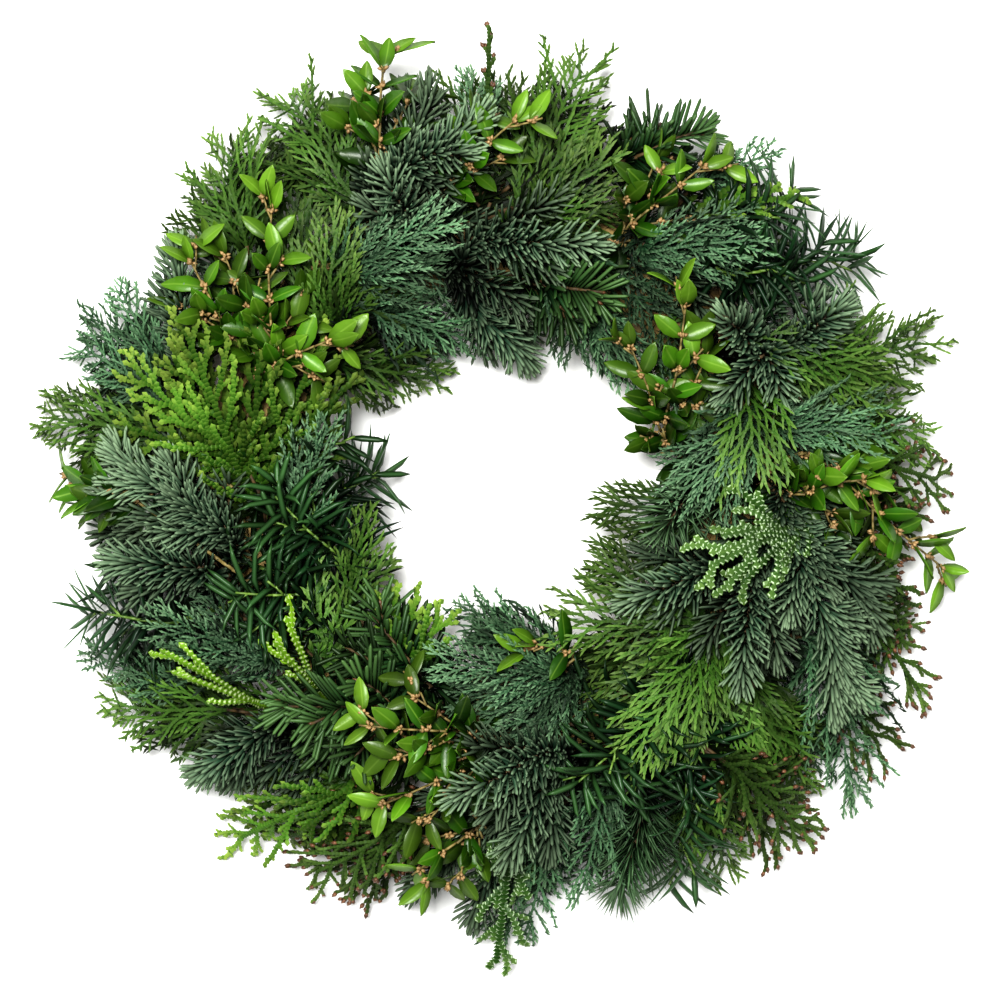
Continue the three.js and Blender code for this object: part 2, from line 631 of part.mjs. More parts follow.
addPiece("straw_ring", ringMesh.geometry, materialOf("#c2a468", 0.9, 0));
const wire = bindingWire();
addPiece("binding_wire", wire, materialOf("#2f4a34", 0.45, 0.6));
place(solidOf(ringMesh.geometry));
place(solidOf(wire));

const missing = [];

// The greens were bound on from the left round to the top, each bunch over the stems of the one before.
Object.keys(BUNCHES).reverse().forEach((name, index) => {
  const { whole, notes } = bunch(name, index);
  const { colour } = KINDS[BUNCHES[name][0]];
  if (whole) addPiece(name, geometryOf(whole), materialOf(colour, 0.6, 0), notes);
  else missing.push(name);
});

const middle = new THREE.Box3().setFromObject(wreath).getCenter(new THREE.Vector3());
wreath.position.set(-middle.x, -middle.y, 0);
wreath.userData.missing = missing;

export default wreath;
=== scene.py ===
# %% [markdown]
# # A fresh evergreen wreath
# The real one is a florist's wreath: short sprigs of fir, pine, yew, cypress, thuja, hiba and box, bound
# one bunch over the next on a straw ring with green wire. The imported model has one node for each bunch,
# cut as thin blades. Here every bunch is dressed: the blade gives the line that a sprig follows, and real
# needles, leaves and scaly twigs are set along that line. Nothing is moved, only made finer, and low and
# single sprigs fill in between.

import math

import bmesh
import bpy
import numpy as np
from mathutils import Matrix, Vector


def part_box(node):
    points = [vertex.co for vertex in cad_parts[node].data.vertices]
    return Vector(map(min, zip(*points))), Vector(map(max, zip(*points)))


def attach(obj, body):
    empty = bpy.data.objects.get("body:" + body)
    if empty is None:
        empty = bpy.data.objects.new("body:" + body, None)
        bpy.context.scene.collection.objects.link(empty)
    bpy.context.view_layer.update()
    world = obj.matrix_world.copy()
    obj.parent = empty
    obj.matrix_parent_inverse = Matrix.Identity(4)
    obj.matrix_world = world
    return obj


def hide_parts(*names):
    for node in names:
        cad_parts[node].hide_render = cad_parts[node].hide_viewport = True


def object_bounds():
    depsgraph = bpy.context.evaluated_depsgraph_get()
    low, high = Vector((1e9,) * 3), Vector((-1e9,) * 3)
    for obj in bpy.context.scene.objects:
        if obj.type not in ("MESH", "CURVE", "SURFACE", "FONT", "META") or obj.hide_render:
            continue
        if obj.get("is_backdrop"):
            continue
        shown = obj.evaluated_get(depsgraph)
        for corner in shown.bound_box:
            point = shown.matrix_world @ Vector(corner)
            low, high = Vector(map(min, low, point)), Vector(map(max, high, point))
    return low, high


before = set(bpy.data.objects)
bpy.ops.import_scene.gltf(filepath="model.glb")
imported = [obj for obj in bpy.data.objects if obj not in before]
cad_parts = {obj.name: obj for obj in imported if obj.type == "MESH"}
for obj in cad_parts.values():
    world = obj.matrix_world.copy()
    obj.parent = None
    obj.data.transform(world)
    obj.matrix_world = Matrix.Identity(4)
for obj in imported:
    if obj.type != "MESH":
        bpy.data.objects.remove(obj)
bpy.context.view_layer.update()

# %% [markdown]
# ## Where the bunches lie
# These are the same numbers that the solids are built from. A bunch is named for its kind and its place.
# For each of its sprays, a row says where it comes out of the greens, where its tip ends and how wide it is,
# in millimetres. They are repeated here because a sprig needs a line to follow, and a finished solid no
# longer tells its own line.

# %% The bunches
BUNCHES = {
    "box_top_left": [[-60, 168, -55, 232, 38]],
    "noble_fir_top": [[-57, 158, -3, 193, 46]],
    "noble_fir_crown": [[-41, 131, -64, 170, 32]],
    "green_cypress_top_left": [[-72, 152, -109, 207, 46]],
    "box_top": [[-28, 155, 14, 200, 44]],
    "green_cypress_top": [[13, 150, 36, 228, 54], [8, 128, 59, 176, 42]],
    "noble_fir_under_top": [[-15, 126, 57, 128, 38], [-14, 98, 20, 68, 30]],
    "nordmann_fir_under_top": [[13, 108, 62, 96, 28]],
    "blue_cypress_top_left": [[-85, 107, -27, 139, 40], [-65, 94, -5, 78, 30]],
    "box_top_right": [[62, 134, 110, 176, 50]],
    "nordmann_fir_top_right": [[62, 170, 108, 193, 28]],
    "blue_cypress_top_right": [[98, 157, 139, 176, 24], [70, 125, 130, 127, 36]],
    "lime_thuja_top_right": [[100, 146, 156, 152, 18]],
    "yew_top_right": [[112, 114, 194, 121, 50], [103, 132, 162, 152, 34]],
    "blue_cypress_inner_top": [[43, 97, 70, 54, 30]],
    "noble_fir_right": [[125, 76, 102, 100, 34], [145, 78, 176, 102, 32]],
    "box_inner_right": [[84, 28, 88, 111, 40]],
    "green_cypress_right": [[136, 58, 223, 82, 54], [153, 48, 219, 32, 40], [124, 58, 122, 14, 54]],
    "blue_cypress_right": [[138, 37, 196, 34, 38], [126, 40, 92, -4, 42]],
    "pine_inner_right": [[98, 8, 74, -26, 40]],
    "hiba_right": [[147, -11, 99, -36, 46]],
    "box_right": [[153, 22, 228, -50, 42], [140, 4, 194, 11, 36]],
    "tipped_cypress_right": [[176, 22, 226, 10, 44], [180, -28, 210, -73, 28]],
    "noble_fir_low_right": [[140, -6, 178, -106, 56]],
    "noble_fir_inner_right": [[110, -34, 54, -52, 38], [124, -32, 120, -101, 36]],
    "green_cypress_low_right": [[103, -60, 32, -63, 46], [105, -67, 65, -121, 46]],
    "green_cypress_bottom_right": [[105, -77, 120, -148, 46], [128, -98, 160, -151, 36]],
    "blue_cypress_low_right": [[156, -72, 188, -147, 50]],
    "tipped_cypress_low_right": [[184, -53, 224, -99, 26]],
    "tipped_cypress_bottom_right": [[114, -132, 161, -182, 38]],
    "green_cypress_bottom": [[98, -142, 118, -190, 44]],
    "yew_bottom_right": [[98, -107, 78, -202, 48], [85, -97, 30, -153, 44]],
    "pine_bottom": [[72, -152, 59, -205, 32]],
    "blue_cypress_bottom": [[52, -142, 38, -200, 34], [26, -160, 14, -227, 28]],
    "hiba_bottom": [[4, -158, -2, -242, 32]],
    "noble_fir_bottom": [[25, -125, -32, -148, 36], [26, -137, 3, -188, 38]],
    "box_bottom_left": [[-12, -116, -78, -104, 46], [-8, -129, -72, -152, 38]],
    "box_bottom": [[-12, -162, -50, -192, 38]],
    "blue_cypress_inner_bottom": [
        [33, -88, -31, -76, 40], [30, -93, -5, -131, 34], [23, -72, -22, -52, 28]],
    "nordmann_fir_low_left": [[-27, -100, -120, -98, 50], [-32, -96, -76, -48, 38]],
    "lime_thuja_low_left": [[-115, -103, -170, -67, 26], [-88, -98, -105, -52, 34]],
    "blue_cypress_low_left": [[-160, -92, -214, -78, 28], [-115, -80, -172, -58, 38]],
    "green_cypress_low_left": [[-140, -105, -197, -107, 46]],
    "noble_fir_low_left": [[-117, -116, -158, -140, 32]],
    "lime_thuja_bottom_left": [[-75, -142, -139, -173, 48]],
    "tipped_cypress_bottom_left": [[-47, -160, -97, -193, 42]],
    "box_left": [[-190, 4, -223, 9, 32]],
    "noble_fir_left": [[-132, -20, -197, 32, 58], [-147, -36, -202, -29, 28]],
    "yew_left": [[-76, -38, -122, 12, 46], [-88, -50, -146, -46, 40]],
    "yew_low_left": [[-163, -61, -218, -54, 40]],
    "lime_thuja_left": [[-125, 4, -150, 92, 46], [-119, 8, -86, 86, 38], [-128, 17, -185, 67, 38]],
    "green_cypress_left": [[-172, 32, -232, 47, 44]],
    "blue_cypress_left": [[-172, 52, -213, 84, 34], [-170, 67, -191, 113, 26]],
    "noble_fir_top_left": [[-155, 72, -165, 134, 36]],
    "box_upper_left": [[-130, 78, -160, 130, 36], [-114, 70, -110, 158, 38], [-124, 62, -72, 88, 38]],
    "green_cypress_upper_left": [[-127, 128, -140, 178, 58]],
    "green_cypress_inner_left": [[-87, 80, -80, 139, 34], [-86, 69, -30, 62, 34]],
    "yew_inner_left": [[-84, 0, -47, 24, 36]],
}
KINDS = ("noble_fir", "nordmann_fir", "pine", "yew", "green_cypress", "blue_cypress", "tipped_cypress",
         "lime_thuja", "hiba", "box")


def kind_of(bunch):
    """The kind of a bunch is how its name starts."""
    return next(kind for kind in KINDS if bunch.startswith(kind))


print("bunches", len(BUNCHES), "sprays", sum(len(sprays) for sprays in BUNCHES.values()))

# %% [markdown]
# ## The ring as a measure
# The straw ring lies where the solid one lies. Its middle also places the layout above, whose ring middle
# is 11 mm up from its own zero. Twelve turns of wire bind the stems. A turn crosses eight seats for a stem,
# and moves on by one pitch while it goes over them, so the seats are worked out and not listed.

# %% The ring's place
MM = 0.001
RING = {"radius": 125, "half_width": 25, "half_height": 24, "middle": 20, "above_zero": 11}

ring_low, ring_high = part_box("straw_ring")
RING_MIDDLE = np.array([(ring_low.x + ring_high.x) / 2 / MM, (ring_low.y + ring_high.y) / 2 / MM])
LAYOUT = RING_MIDDLE - [0, RING["above_zero"]]
print("ring middle", RING_MIDDLE.round(2))


def beside_ring(turn, section, away):
    """A point beside the ring: degrees round it, degrees round its section, and away from its core."""
    turn, section = math.radians(turn), math.radians(section)
    r = RING["radius"] + away * math.cos(section)
    return np.array([
        RING_MIDDLE[0] + r * math.cos(turn),
        RING_MIDDLE[1] + r * math.sin(turn),
        RING["middle"] + away * math.sin(section),
    ])


def straw_reach(section):
    """How far the oval of straw reaches from its core in a direction."""
    angle = math.radians(section)
    return 1 / math.hypot(math.cos(angle) / RING["half_width"], math.sin(angle) / RING["half_height"])


# %% Seats under the wire
TURNS = 12
PITCH = 360 / TURNS
SEAT_SECTIONS = [17, 35, 56, 78, 101, 124, 145, 163]
STEM_ABOVE_STRAW = 2.2

SEATS = [
    (turn * PITCH + PITCH * section / 180, section) for turn in range(TURNS) for section in SEAT_SECTIONS]
SEAT_PLACES = np.array([
    beside_ring(angle, section, straw_reach(section) + STEM_ABOVE_STRAW) for angle, section in SEATS])
print("seats", len(SEATS))

# %% [markdown]
# ## The line of a sprig
# A stem lies flat on the straw under the wire, then rises through the greens to its tip. The solid's own
# corners say which seat under the wire it took and how high its rib runs, so the sprig stays where the
# solid is.

# %% Reading a solid spray
# Corners this near to a spray's line, in mm, and within these shares of it, tell how high its rib runs.
BESIDE_RIB = 4
ALONG_RIB = (-0.05, 1.1)


def normalised(vectors):
    return vectors / np.maximum(np.linalg.norm(vectors, axis=-1, keepdims=True), 1e-9)


def corners_of(node):
    found = np.empty(len(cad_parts[node].data.vertices) * 3)
    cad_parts[node].data.vertices.foreach_get("co", found)
    return found.reshape(-1, 3) / MM


def seat_of(corners):
    """The seat that a bunch is bound at: the one nearest to its corners."""
    gaps = [np.linalg.norm(corners - place, axis=1).min() for place in SEAT_PLACES]
    return SEATS[int(np.argmin(gaps))]


def rib_of(corners, spray):
    """Base, middle and tip of a spray's rib, with heights read from the corners beside it."""
    start = np.array(spray[:2]) + LAYOUT
    line = np.array(spray[2:4]) + LAYOUT - start
    length = np.hypot(*line)
    off = corners[:, :2] - start
    share = off @ line / length**2
    across = np.abs(off[:, 0] * line[1] - off[:, 1] * line[0]) / length
    near = (across < BESIDE_RIB) & (share > ALONG_RIB[0]) & (share < ALONG_RIB[1])
    heights = np.polyfit(share[near], corners[near, 2], 2)
    reach = min(1.0, share[near].max())
    return [np.array([*(start + line * s * reach), np.polyval(heights, s * reach)]) for s in (0, 0.5, 1)]


first = corners_of("noble_fir_top")
print("noble_fir_top is bound at", seat_of(first))
print("its rib", [p.round(1).tolist() for p in rib_of(first, BUNCHES["noble_fir_top"][0])])

# %% [markdown]
# ### A smooth line with frames
# A few points would give a stem with corners. A smooth curve through them is cut into short steps of equal
# length, and each step gets a frame: along the stem, sideways, and off the face of the greens. Close to the
# straw that face is the straw's own, and further out it is a dome that is highest over the ring.

# %% A smooth line
LINE_STEPS = 64
CUTS_BETWEEN_POINTS = 12


def smooth(share):
    share = np.clip(share, 0, 1)
    return share * share * (3 - 2 * share)


def smooth_line(points):
    """A smooth curve through a few points, cut into short steps of equal length."""
    points = np.array(points, float)
    knots = np.concatenate([[0], np.cumsum(np.linalg.norm(np.diff(points, axis=0), axis=1) ** 0.5)])
    first, last = 2 * points[0] - points[1], 2 * points[-1] - points[-2]
    all_points = np.vstack([first, points, last])
    all_knots = np.concatenate([[2 * knots[0] - knots[1]], knots, [2 * knots[-1] - knots[-2]]])
    curve = []
    for i in range(len(points) - 1):
        p, k = all_points[i:i + 4], all_knots[i:i + 4]
        for t in np.linspace(k[1], k[2], CUTS_BETWEEN_POINTS, endpoint=False):
            a = [((k[j + 1] - t) * p[j] + (t - k[j]) * p[j + 1]) / (k[j + 1] - k[j]) for j in range(3)]
            b = [((k[j + 2] - t) * a[j] + (t - k[j]) * a[j + 1]) / (k[j + 2] - k[j]) for j in range(2)]
            curve.append(((k[2] - t) * b[0] + (t - k[1]) * b[1]) / (k[2] - k[1]))
    curve = np.array([*curve, points[-1]])
    run = np.concatenate([[0], np.cumsum(np.linalg.norm(np.diff(curve, axis=0), axis=1))])
    even = np.linspace(0, run[-1], LINE_STEPS)
    return np.stack([np.interp(even, run, curve[:, k]) for k in range(3)], 1), run[-1]


bow = smooth_line([(0, 0, 0), (10, 4, 0), (20, 0, 0)])
print("a bow of", len(bow[0]), "steps is", round(bow[1], 1), "mm long")

# %% The frames of a sprig
# The dome of greens: how far out it is highest, how far it takes to tilt in full, and that tilt.
CREST, DOME_HALF, DOME_TILT = 137, 75, 0.55
# The straw's own face counts this close to it, in mm, and fades out over so much more.
NEAR_STRAW, STRAW_FADE = 3, 14
# A stem at its seat: degrees along the ring from the wire, and how far it has risen off the straw there.
RISE = [(-5, 0), (0, 0), (2.5, 0), (5, 0.8), (10, 6)]
# The leaves start a little before the visible rib, and never closer than this to the stem's cut end.
BEFORE_RIB, BARE_STEM = 1.08, 18.0


def facing(places):
    """Which way the greens face: off the straw close to it, and off their domed face further out."""
    flat = places[:, :2] - RING_MIDDLE
    r = np.linalg.norm(flat, axis=1, keepdims=True)
    core = np.hstack([flat / r * RING["radius"] + RING_MIDDLE, np.full_like(r, RING["middle"])])
    off = places - core
    above = np.linalg.norm(off, axis=1, keepdims=True) - RING["half_width"] - NEAR_STRAW
    free = smooth(above / STRAW_FADE)
    tilt = np.clip((r - CREST) / DOME_HALF, -1, 1) * DOME_TILT
    dome = normalised(np.hstack([flat / r * tilt, np.ones_like(r)]))
    return normalised(normalised(off) * (1 - free) + dome * free)


def sprig_line(seat, clockwise, rib, roll, back):
    """The whole line of a sprig, from under the wire to its tip, with its frames. Leaves start at `leafy`."""
    angle, section = seat
    away = straw_reach(section) + STEM_ABOVE_STRAW
    points = [beside_ring(angle + clockwise * step, section, away + rise) for step, rise in RISE]
    places, length = smooth_line([*points, *rib])
    along = normalised(np.gradient(places, axis=0))
    side = normalised(np.cross(facing(places), along))
    up = np.cross(along, side)
    turn = roll * smooth((np.linspace(0, 1, len(places)) - 0.25) / 0.25)[:, None]
    side, up = side * np.cos(turn) + up * np.sin(turn), up * np.cos(turn) - side * np.sin(turn)
    visible = np.linalg.norm(rib[2] - rib[0])
    return {
        "run": np.linspace(0, length, len(places)), "places": places, "along": along, "side": side,
        "up": up, "length": length, "leafy": max(BARE_STEM, length - visible * BEFORE_RIB - back),
    }


tried = sprig_line(seat_of(first), -1, rib_of(first, BUNCHES["noble_fir_top"][0]), 0.0, 0.0)
print("its line is", round(tried["length"]), "mm long, with leaves from", round(tried["leafy"]), "mm")

# %% [markdown]
# ## Shapes that repeat
# A wreath has tens of thousands of needles, so each kind of needle, leaf, scale, bud and twig is modelled
# once, with only a few faces, and then copied. Each starts as a cylinder whose end is drawn out step by
# step along +Y, as one would pull a shape out by hand. A shape is one unit long, wide and thick, and every
# copy is stretched to its real size.

# %% Picking corners
# Corners this close to a place are at it.
NEAR = 1e-4
# Rows that are done wait this far along +Y, so that none of them is picked again by its place.
PARKED = 10


def pick(test):
    """In edit mode: selects the corners whose place passes a test."""
    bpy.ops.mesh.select_mode(type="VERT")
    bpy.ops.mesh.select_all(action="DESELECT")
    mesh = bmesh.from_edit_mesh(bpy.context.object.data)
    for corner in mesh.verts:
        corner.select = bool(test(corner.co))
    mesh.select_flush(True)
    bmesh.update_edit_mesh(bpy.context.object.data)


def read_off(shape):
    """The corners and faces of a modelled shape as arrays. The shape itself isn't part of the wreath."""
    mesh = shape.data
    places = np.empty(len(mesh.vertices) * 3)
    mesh.vertices.foreach_get("co", places)
    loops = np.empty(len(mesh.loops), int)
    mesh.loops.foreach_get("vertex_index", loops)
    starts = np.empty(len(mesh.polygons), int)
    mesh.polygons.foreach_get("loop_start", starts)
    triangles = sum(len(face.vertices) - 2 for face in mesh.polygons)
    bpy.data.objects.remove(shape)
    return {"places": places.reshape(-1, 3), "loops": loops, "starts": starts, "triangles": triangles}


# %% Drawing a shape out
def drawn_out(sides, sections):
    """A shape drawn out along +Y. A section is its place and its width, and a width of 0 is a point."""
    bpy.ops.object.select_all(action="DESELECT")
    bpy.ops.mesh.primitive_cylinder_add(
        vertices=sides, radius=0.5, depth=1, end_fill_type="NGON", rotation=(-math.pi / 2, 0, 0))
    bpy.ops.object.transform_apply(location=True, rotation=True, scale=True)
    bpy.ops.object.mode_set(mode="EDIT")
    for index, end in ((0, -0.5), (1, 0.5)):
        place, width = sections[index]
        pick(lambda co: abs(co.y - end) < NEAR)
        if width == 0:
            bpy.ops.mesh.merge(type="CENTER")
            pick(lambda co: abs(co.y - end) < NEAR)
        else:
            bpy.ops.transform.resize(value=(width, 1, width), center_override=(0, end, 0))
        bpy.ops.transform.translate(value=(0, place - end + PARKED * index, 0))
    for (before, wide), (place, width) in zip(sections[1:], sections[2:]):
        bpy.ops.mesh.extrude_region_move(TRANSFORM_OT_translate={"value": (0, place - before, 0)})
        if width == 0:
            bpy.ops.mesh.merge(type="CENTER")
        else:
            bpy.ops.transform.resize(
                value=(width / wide, 1, width / wide), center_override=(0, place + PARKED, 0))
    pick(lambda co: co.y > PARKED / 2)
    bpy.ops.transform.translate(value=(0, -PARKED, 0))
    bpy.ops.mesh.select_all(action="SELECT")
    bpy.ops.mesh.normals_make_consistent(inside=False)
    bpy.ops.object.mode_set(mode="OBJECT")
    return read_off(bpy.context.object)


SHAPES = {
    "needle": drawn_out(4, [(0, 0.6), (0.45, 1.0), (0.9, 0.85), (1, 0)]),
    "thin_needle": drawn_out(3, [(0, 0.9), (0.6, 0.9), (1, 0)]),
    "lance": drawn_out(4, [(0, 0.45), (0.3, 1.0), (0.72, 0.86), (1, 0)]),
    "scale": drawn_out(4, [(0, 0), (0.7, 1.0), (1, 0)]),
    "fine_scale": drawn_out(3, [(0, 0), (0.7, 1.0), (1, 0)]),
    "bud": drawn_out(4, [(0, 0.7), (0.45, 1.0), (1, 0)]),
    "twig": drawn_out(5, [(0, 1.0), (1, 1.0)]),
}
# Scales keep their facets, which part each one from the next. All else is shaded smooth.
CRISP = {"scale", "fine_scale"}
for name, shape in SHAPES.items():
    print(name, shape["triangles"], "triangles, width", np.ptp(shape["places"][:, 0]).round(2))

# %% [markdown]
# ## The box leaf
# A box leaf is a firm little oval, folded a little at its midrib. A grid of two by five faces is enough:
# each row is scaled to the leaf's width there, the middle line is pushed down into a fold, and Solidify
# gives it the thickness of a real leaf, so that it is closed and can be seen from both sides.

# %% Modelling the leaf
# Each row's place along the leaf and its width there, as shares of the leaf's length and width.
LEAF_ROWS = [(0.0, 0.14), (0.2, 0.72), (0.45, 1.0), (0.7, 0.84), (0.9, 0.42), (1.0, 0.06)]
LEAF_FOLD, LEAF_THICKNESS = 0.09, 0.035


def folded_leaf(rows):
    bpy.ops.object.select_all(action="DESELECT")
    bpy.ops.mesh.primitive_grid_add(x_subdivisions=2, y_subdivisions=len(rows) - 1, size=1)
    bpy.ops.object.mode_set(mode="EDIT")
    for index, (place, width) in reversed(list(enumerate(rows))):
        old = -0.5 + index / (len(rows) - 1)
        pick(lambda co: abs(co.y - old) < NEAR)
        bpy.ops.transform.resize(value=(width, 1, 1), center_override=(0, old, 0))
        bpy.ops.transform.translate(value=(0, place - old + PARKED, 0))
    pick(lambda co: abs(co.x) < NEAR)
    bpy.ops.transform.translate(value=(0, 0, -LEAF_FOLD))
    bpy.ops.mesh.select_all(action="SELECT")
    bpy.ops.transform.translate(value=(0, -PARKED, 0))
    bpy.ops.object.mode_set(mode="OBJECT")
    leaf = bpy.context.object
    thickness = leaf.modifiers.new("thickness", "SOLIDIFY")
    thickness.thickness = LEAF_THICKNESS
    thickness.offset = 0
    bpy.ops.object.modifier_apply(modifier=thickness.name)
    return read_off(leaf)


SHAPES["leaf"] = folded_leaf(LEAF_ROWS)
print("leaf", SHAPES["leaf"]["triangles"], "triangles")

# %% [markdown]
# ## Twigs on a flat pattern
# A sprig is first laid out flat, as if pressed in a book: u runs along its stem, v to the side and w off
# the page. Every twig on it is one row of an array: where it starts, where it heads and how fast it curves,
# its length and slope off the page, and how near the sprig's tip and how light it is. Numpy grows them all
# at once. The pattern is bent along its line only at the end, so the leaves follow every curve of the stem.

# %% Twigs as rows
U, V, W, HEADING, CURVE, LENGTH, SLOPE, SHARE, TONE = range(9)


def on_twig(twigs, run):
    """Where each twig is at a distance along it, and which way it points there."""
    middle = twigs[:, HEADING] + twigs[:, CURVE] * run / 2
    end = twigs[:, HEADING] + twigs[:, CURVE] * run
    place = np.stack([
        twigs[:, U] + run * np.cos(middle),
        twigs[:, V] + run * np.sin(middle),
        twigs[:, W] + run * twigs[:, SLOPE],
    ], 1)
    return place, normalised(np.stack([np.cos(end), np.sin(end), twigs[:, SLOPE]], 1))


def stations(twigs, spacing, start=0.5):
    """Even steps along every twig: which twig, how far along it, and the step's number."""
    counts = np.maximum(1, np.round(twigs[:, LENGTH] / spacing)).astype(int)
    rows = np.repeat(np.arange(len(twigs)), counts)
    order = np.arange(len(rows)) - np.repeat(np.cumsum(counts) - counts, counts)
    run = (order + start) * twigs[rows, LENGTH] / counts[rows]
    return rows, run, order


def near_tip_share(twigs, rows, run):
    """How near to the sprig's tip each station is, from 0 to 1."""
    return twigs[rows, SHARE] + (1 - twigs[rows, SHARE]) * run / twigs[rows, LENGTH]


def main_twig(length, draw):
    return np.array([[0, 0, 0, draw.uniform(-0.05, 0.05), draw.uniform(-1, 1) * 0.12 / length,
                      length, 0, 0, draw.uniform(0.2, 1)]])


def side_twigs(parents, spacing, lean, reach, draw, first, bow, rise):
    """Side twigs in turn left and right of their parents. `reach` gives their length."""
    rows, run, order = stations(parents, spacing, 0.7)
    kept = run >= first * parents[rows, LENGTH]
    rows, run, order = rows[kept], run[kept], order[kept]
    place, direction = on_twig(parents[rows], run)
    side = np.where(order % 2 == 0, 1, -1)
    share = run / parents[rows, LENGTH]
    length = reach(share, rows) * draw.uniform(0.82, 1.16, len(rows))
    angle = math.radians(lean) * (1 - 0.3 * share**2) + draw.normal(0, 0.07, len(rows))
    return np.stack([
        place[:, 0], place[:, 1], place[:, 2],
        np.arctan2(direction[:, 1], direction[:, 0]) + side * angle,
        -side * bow / np.maximum(length, 1) + draw.normal(0, 0.1, len(rows)) / np.maximum(length, 1),
        length, draw.normal(0, rise, len(rows)),
        np.clip(parents[rows, SHARE] + share * (1 - parents[rows, SHARE]), 0, 1),
        np.clip(parents[rows, TONE] + draw.normal(0, 0.2, len(rows)), 0, 1),
    ], 1)


trial_draw = np.random.default_rng(1)
trial_twig = main_twig(60, trial_draw)
print("a main twig of 60 mm with stations every 5 mm has", len(stations(trial_twig, 5)[0]))

# %% Copies of a shape
LEAVES, BARK, BUDS = 0, 1, 2
OFF_PAGE = np.array([0.0, 0.0, 1.0])
# The wood is laid in lengths this far apart, in mm, and each is a little longer, so that they overlap.
WOOD_STEP, WOOD_LENGTH = 6.0, 6.9


def copies(shape, finish, place, forward, up, size, bend, tone, tip, sway=0.0):
    """Many copies of one shape. Values given once hold for all. Bend curves off the face, sway sideways."""
    count = len(place)
    vectors = {name: np.broadcast_to(value, (count, 3)) for name, value in (("up", up), ("size", size))}
    values = {"bend": bend, "tone": tone, "tip": tip, "inner": 0.0, "sway": sway}
    return {
        "shape": shape, "finish": finish, "place": place, "forward": forward, **vectors,
        **{name: np.broadcast_to(value, count) for name, value in values.items()},
    }


def bark(twigs, thick_base, thick_tip, draw):
    """The wood of the twigs, as short overlapping lengths that taper towards the tip."""
    rows, run, _ = stations(twigs, WOOD_STEP, 0.0)
    place, forward = on_twig(twigs[rows], run)
    share = near_tip_share(twigs, rows, run)
    thick = thick_base + (thick_tip - thick_base) * share
    size = np.stack([thick, np.full_like(thick, WOOD_LENGTH), thick], 1)
    return copies("twig", BARK, place, forward, OFF_PAGE, size, 0.0, draw.random(len(rows)), share)


print("its wood takes", len(bark(trial_twig, 2, 1, trial_draw)["place"]), "lengths")

# %% [markdown]
# ## Needles
# Noble fir needles stand close all round the upper side of the twig and sweep up and forward. Nordmann fir
# needles part to both sides like a comb, with shorter ones on top. Pine needles are thin and long and point
# forward. Yew needles are long flat lances in two flat rows. One function sets them all, and each kind says
# how close, how long and which way.

# %% Kinds of needle
# Sizes are in mm and angles in degrees. `sweep` is how far a needle leans out from its twig, and `round` is
# the arc round the twig that they stand on. Where they part to two sides instead, `on_top` is the share that
# stands up, and `top_long` how long those are. `bend` and `sway` curve a needle up and sideways, `flat_side`
# says how far its flat side faces off the page and ahead, and `foot_short` shortens those at the foot.
# Sprays wider than `forks_over` have side twigs, `forks` apart. `bark` is how thick the wood is at foot and
# tip, and `buds` says whether the twigs end in one.
NEEDLES = {
    "noble_fir": dict(
        shape="needle", gap=0.6, long=15, wide=2.0, thick=1.8, sweep=(60, 82), round=(0, 180), bend=0.28,
        sway=0.0, flat_side=(0.45, 1.0), foot_short=0, forks=24, forks_over=40, bark=(2.2, 1.5), buds=True),
    "nordmann_fir": dict(
        shape="needle", gap=0.95, long=23, wide=2.3, thick=0.9, sweep=(46, 56), round=None, on_top=0.34,
        top_long=0.62, bend=0.04, sway=0.04, flat_side=(0.8, 0.35), foot_short=0, forks=26, forks_over=0,
        bark=(2.4, 1.6), buds=True),
    "pine": dict(
        shape="thin_needle", gap=0.5, long=23, wide=1.5, thick=1.0, sweep=(34, 62), round=(-30, 210),
        bend=0.12, sway=0.05, flat_side=(0.8, 0.35), foot_short=0, forks=None, bark=(3.0, 2.2), buds=False),
    "yew": dict(
        shape="lance", gap=2.5, long=30, wide=3.4, thick=0.9, sweep=(44, 80), round=None, on_top=0.22,
        top_long=1.0, bend=-0.02, sway=0.26, flat_side=(0.8, 0.35), foot_short=0.25, forks=19, forks_over=0,
        bark=(1.9, 1.3), buds=False),
}
# Needles after one another stand this share of the arc apart, so that they never line up.
GOLDEN_SHARE = 0.618034
# A spray needs to be longer than this, in mm, to have side twigs.
SHORTEST_FORKED = 34
print("needles per 10 mm", {kind: round(10 / plan["gap"]) for kind, plan in NEEDLES.items()})


# %% Which way needles stand
def around_twig(plan, order, draw):
    """For each needle: its angle round the twig, its share of the full length, and its side."""
    count = len(order)
    if plan["round"]:
        low, high = np.radians(plan["round"])
        around = low + (high - low) * ((order * GOLDEN_SHARE + draw.uniform(-0.03, 0.03, count)) % 1)
        return around, draw.uniform(0.92, 1.05, count), np.where(np.cos(around) > 0, 0.0, math.pi)
    side = np.where(order % 2 == 0, 0.0, math.pi)
    on_top = draw.random(count) < plan["on_top"]
    lifted = np.where(on_top, draw.uniform(25, 75, count), draw.normal(6, 9, count))
    around = np.where(side == 0, np.radians(lifted), math.pi - np.radians(lifted))
    return around, np.where(on_top, plan["top_long"], 1.0) * draw.uniform(0.84, 1.06, count), side


def needled_twigs(plan, length, spread, draw):
    """A main twig, and side twigs where the spray is wide enough for them."""
    main = main_twig(length, draw)
    if not plan["forks"] or spread <= plan["forks_over"] or length <= SHORTEST_FORKED:
        return main
    # Needles and side twigs reach out by these shares of their lengths.
    reach = np.clip((spread / 2 - plan["long"] * 0.42) / 0.72, 9, 34)

    def side_reach(share, rows):
        return np.minimum(reach, length * (1 - share) * 0.8 + 7)

    sides = side_twigs(main, plan["forks"], 42, side_reach, draw, first=0.1, bow=0.25, rise=0.2)
    return np.vstack([main, sides])


print("twigs on a noble fir sprig", len(needled_twigs(NEEDLES["noble_fir"], 70, 46, trial_draw)))

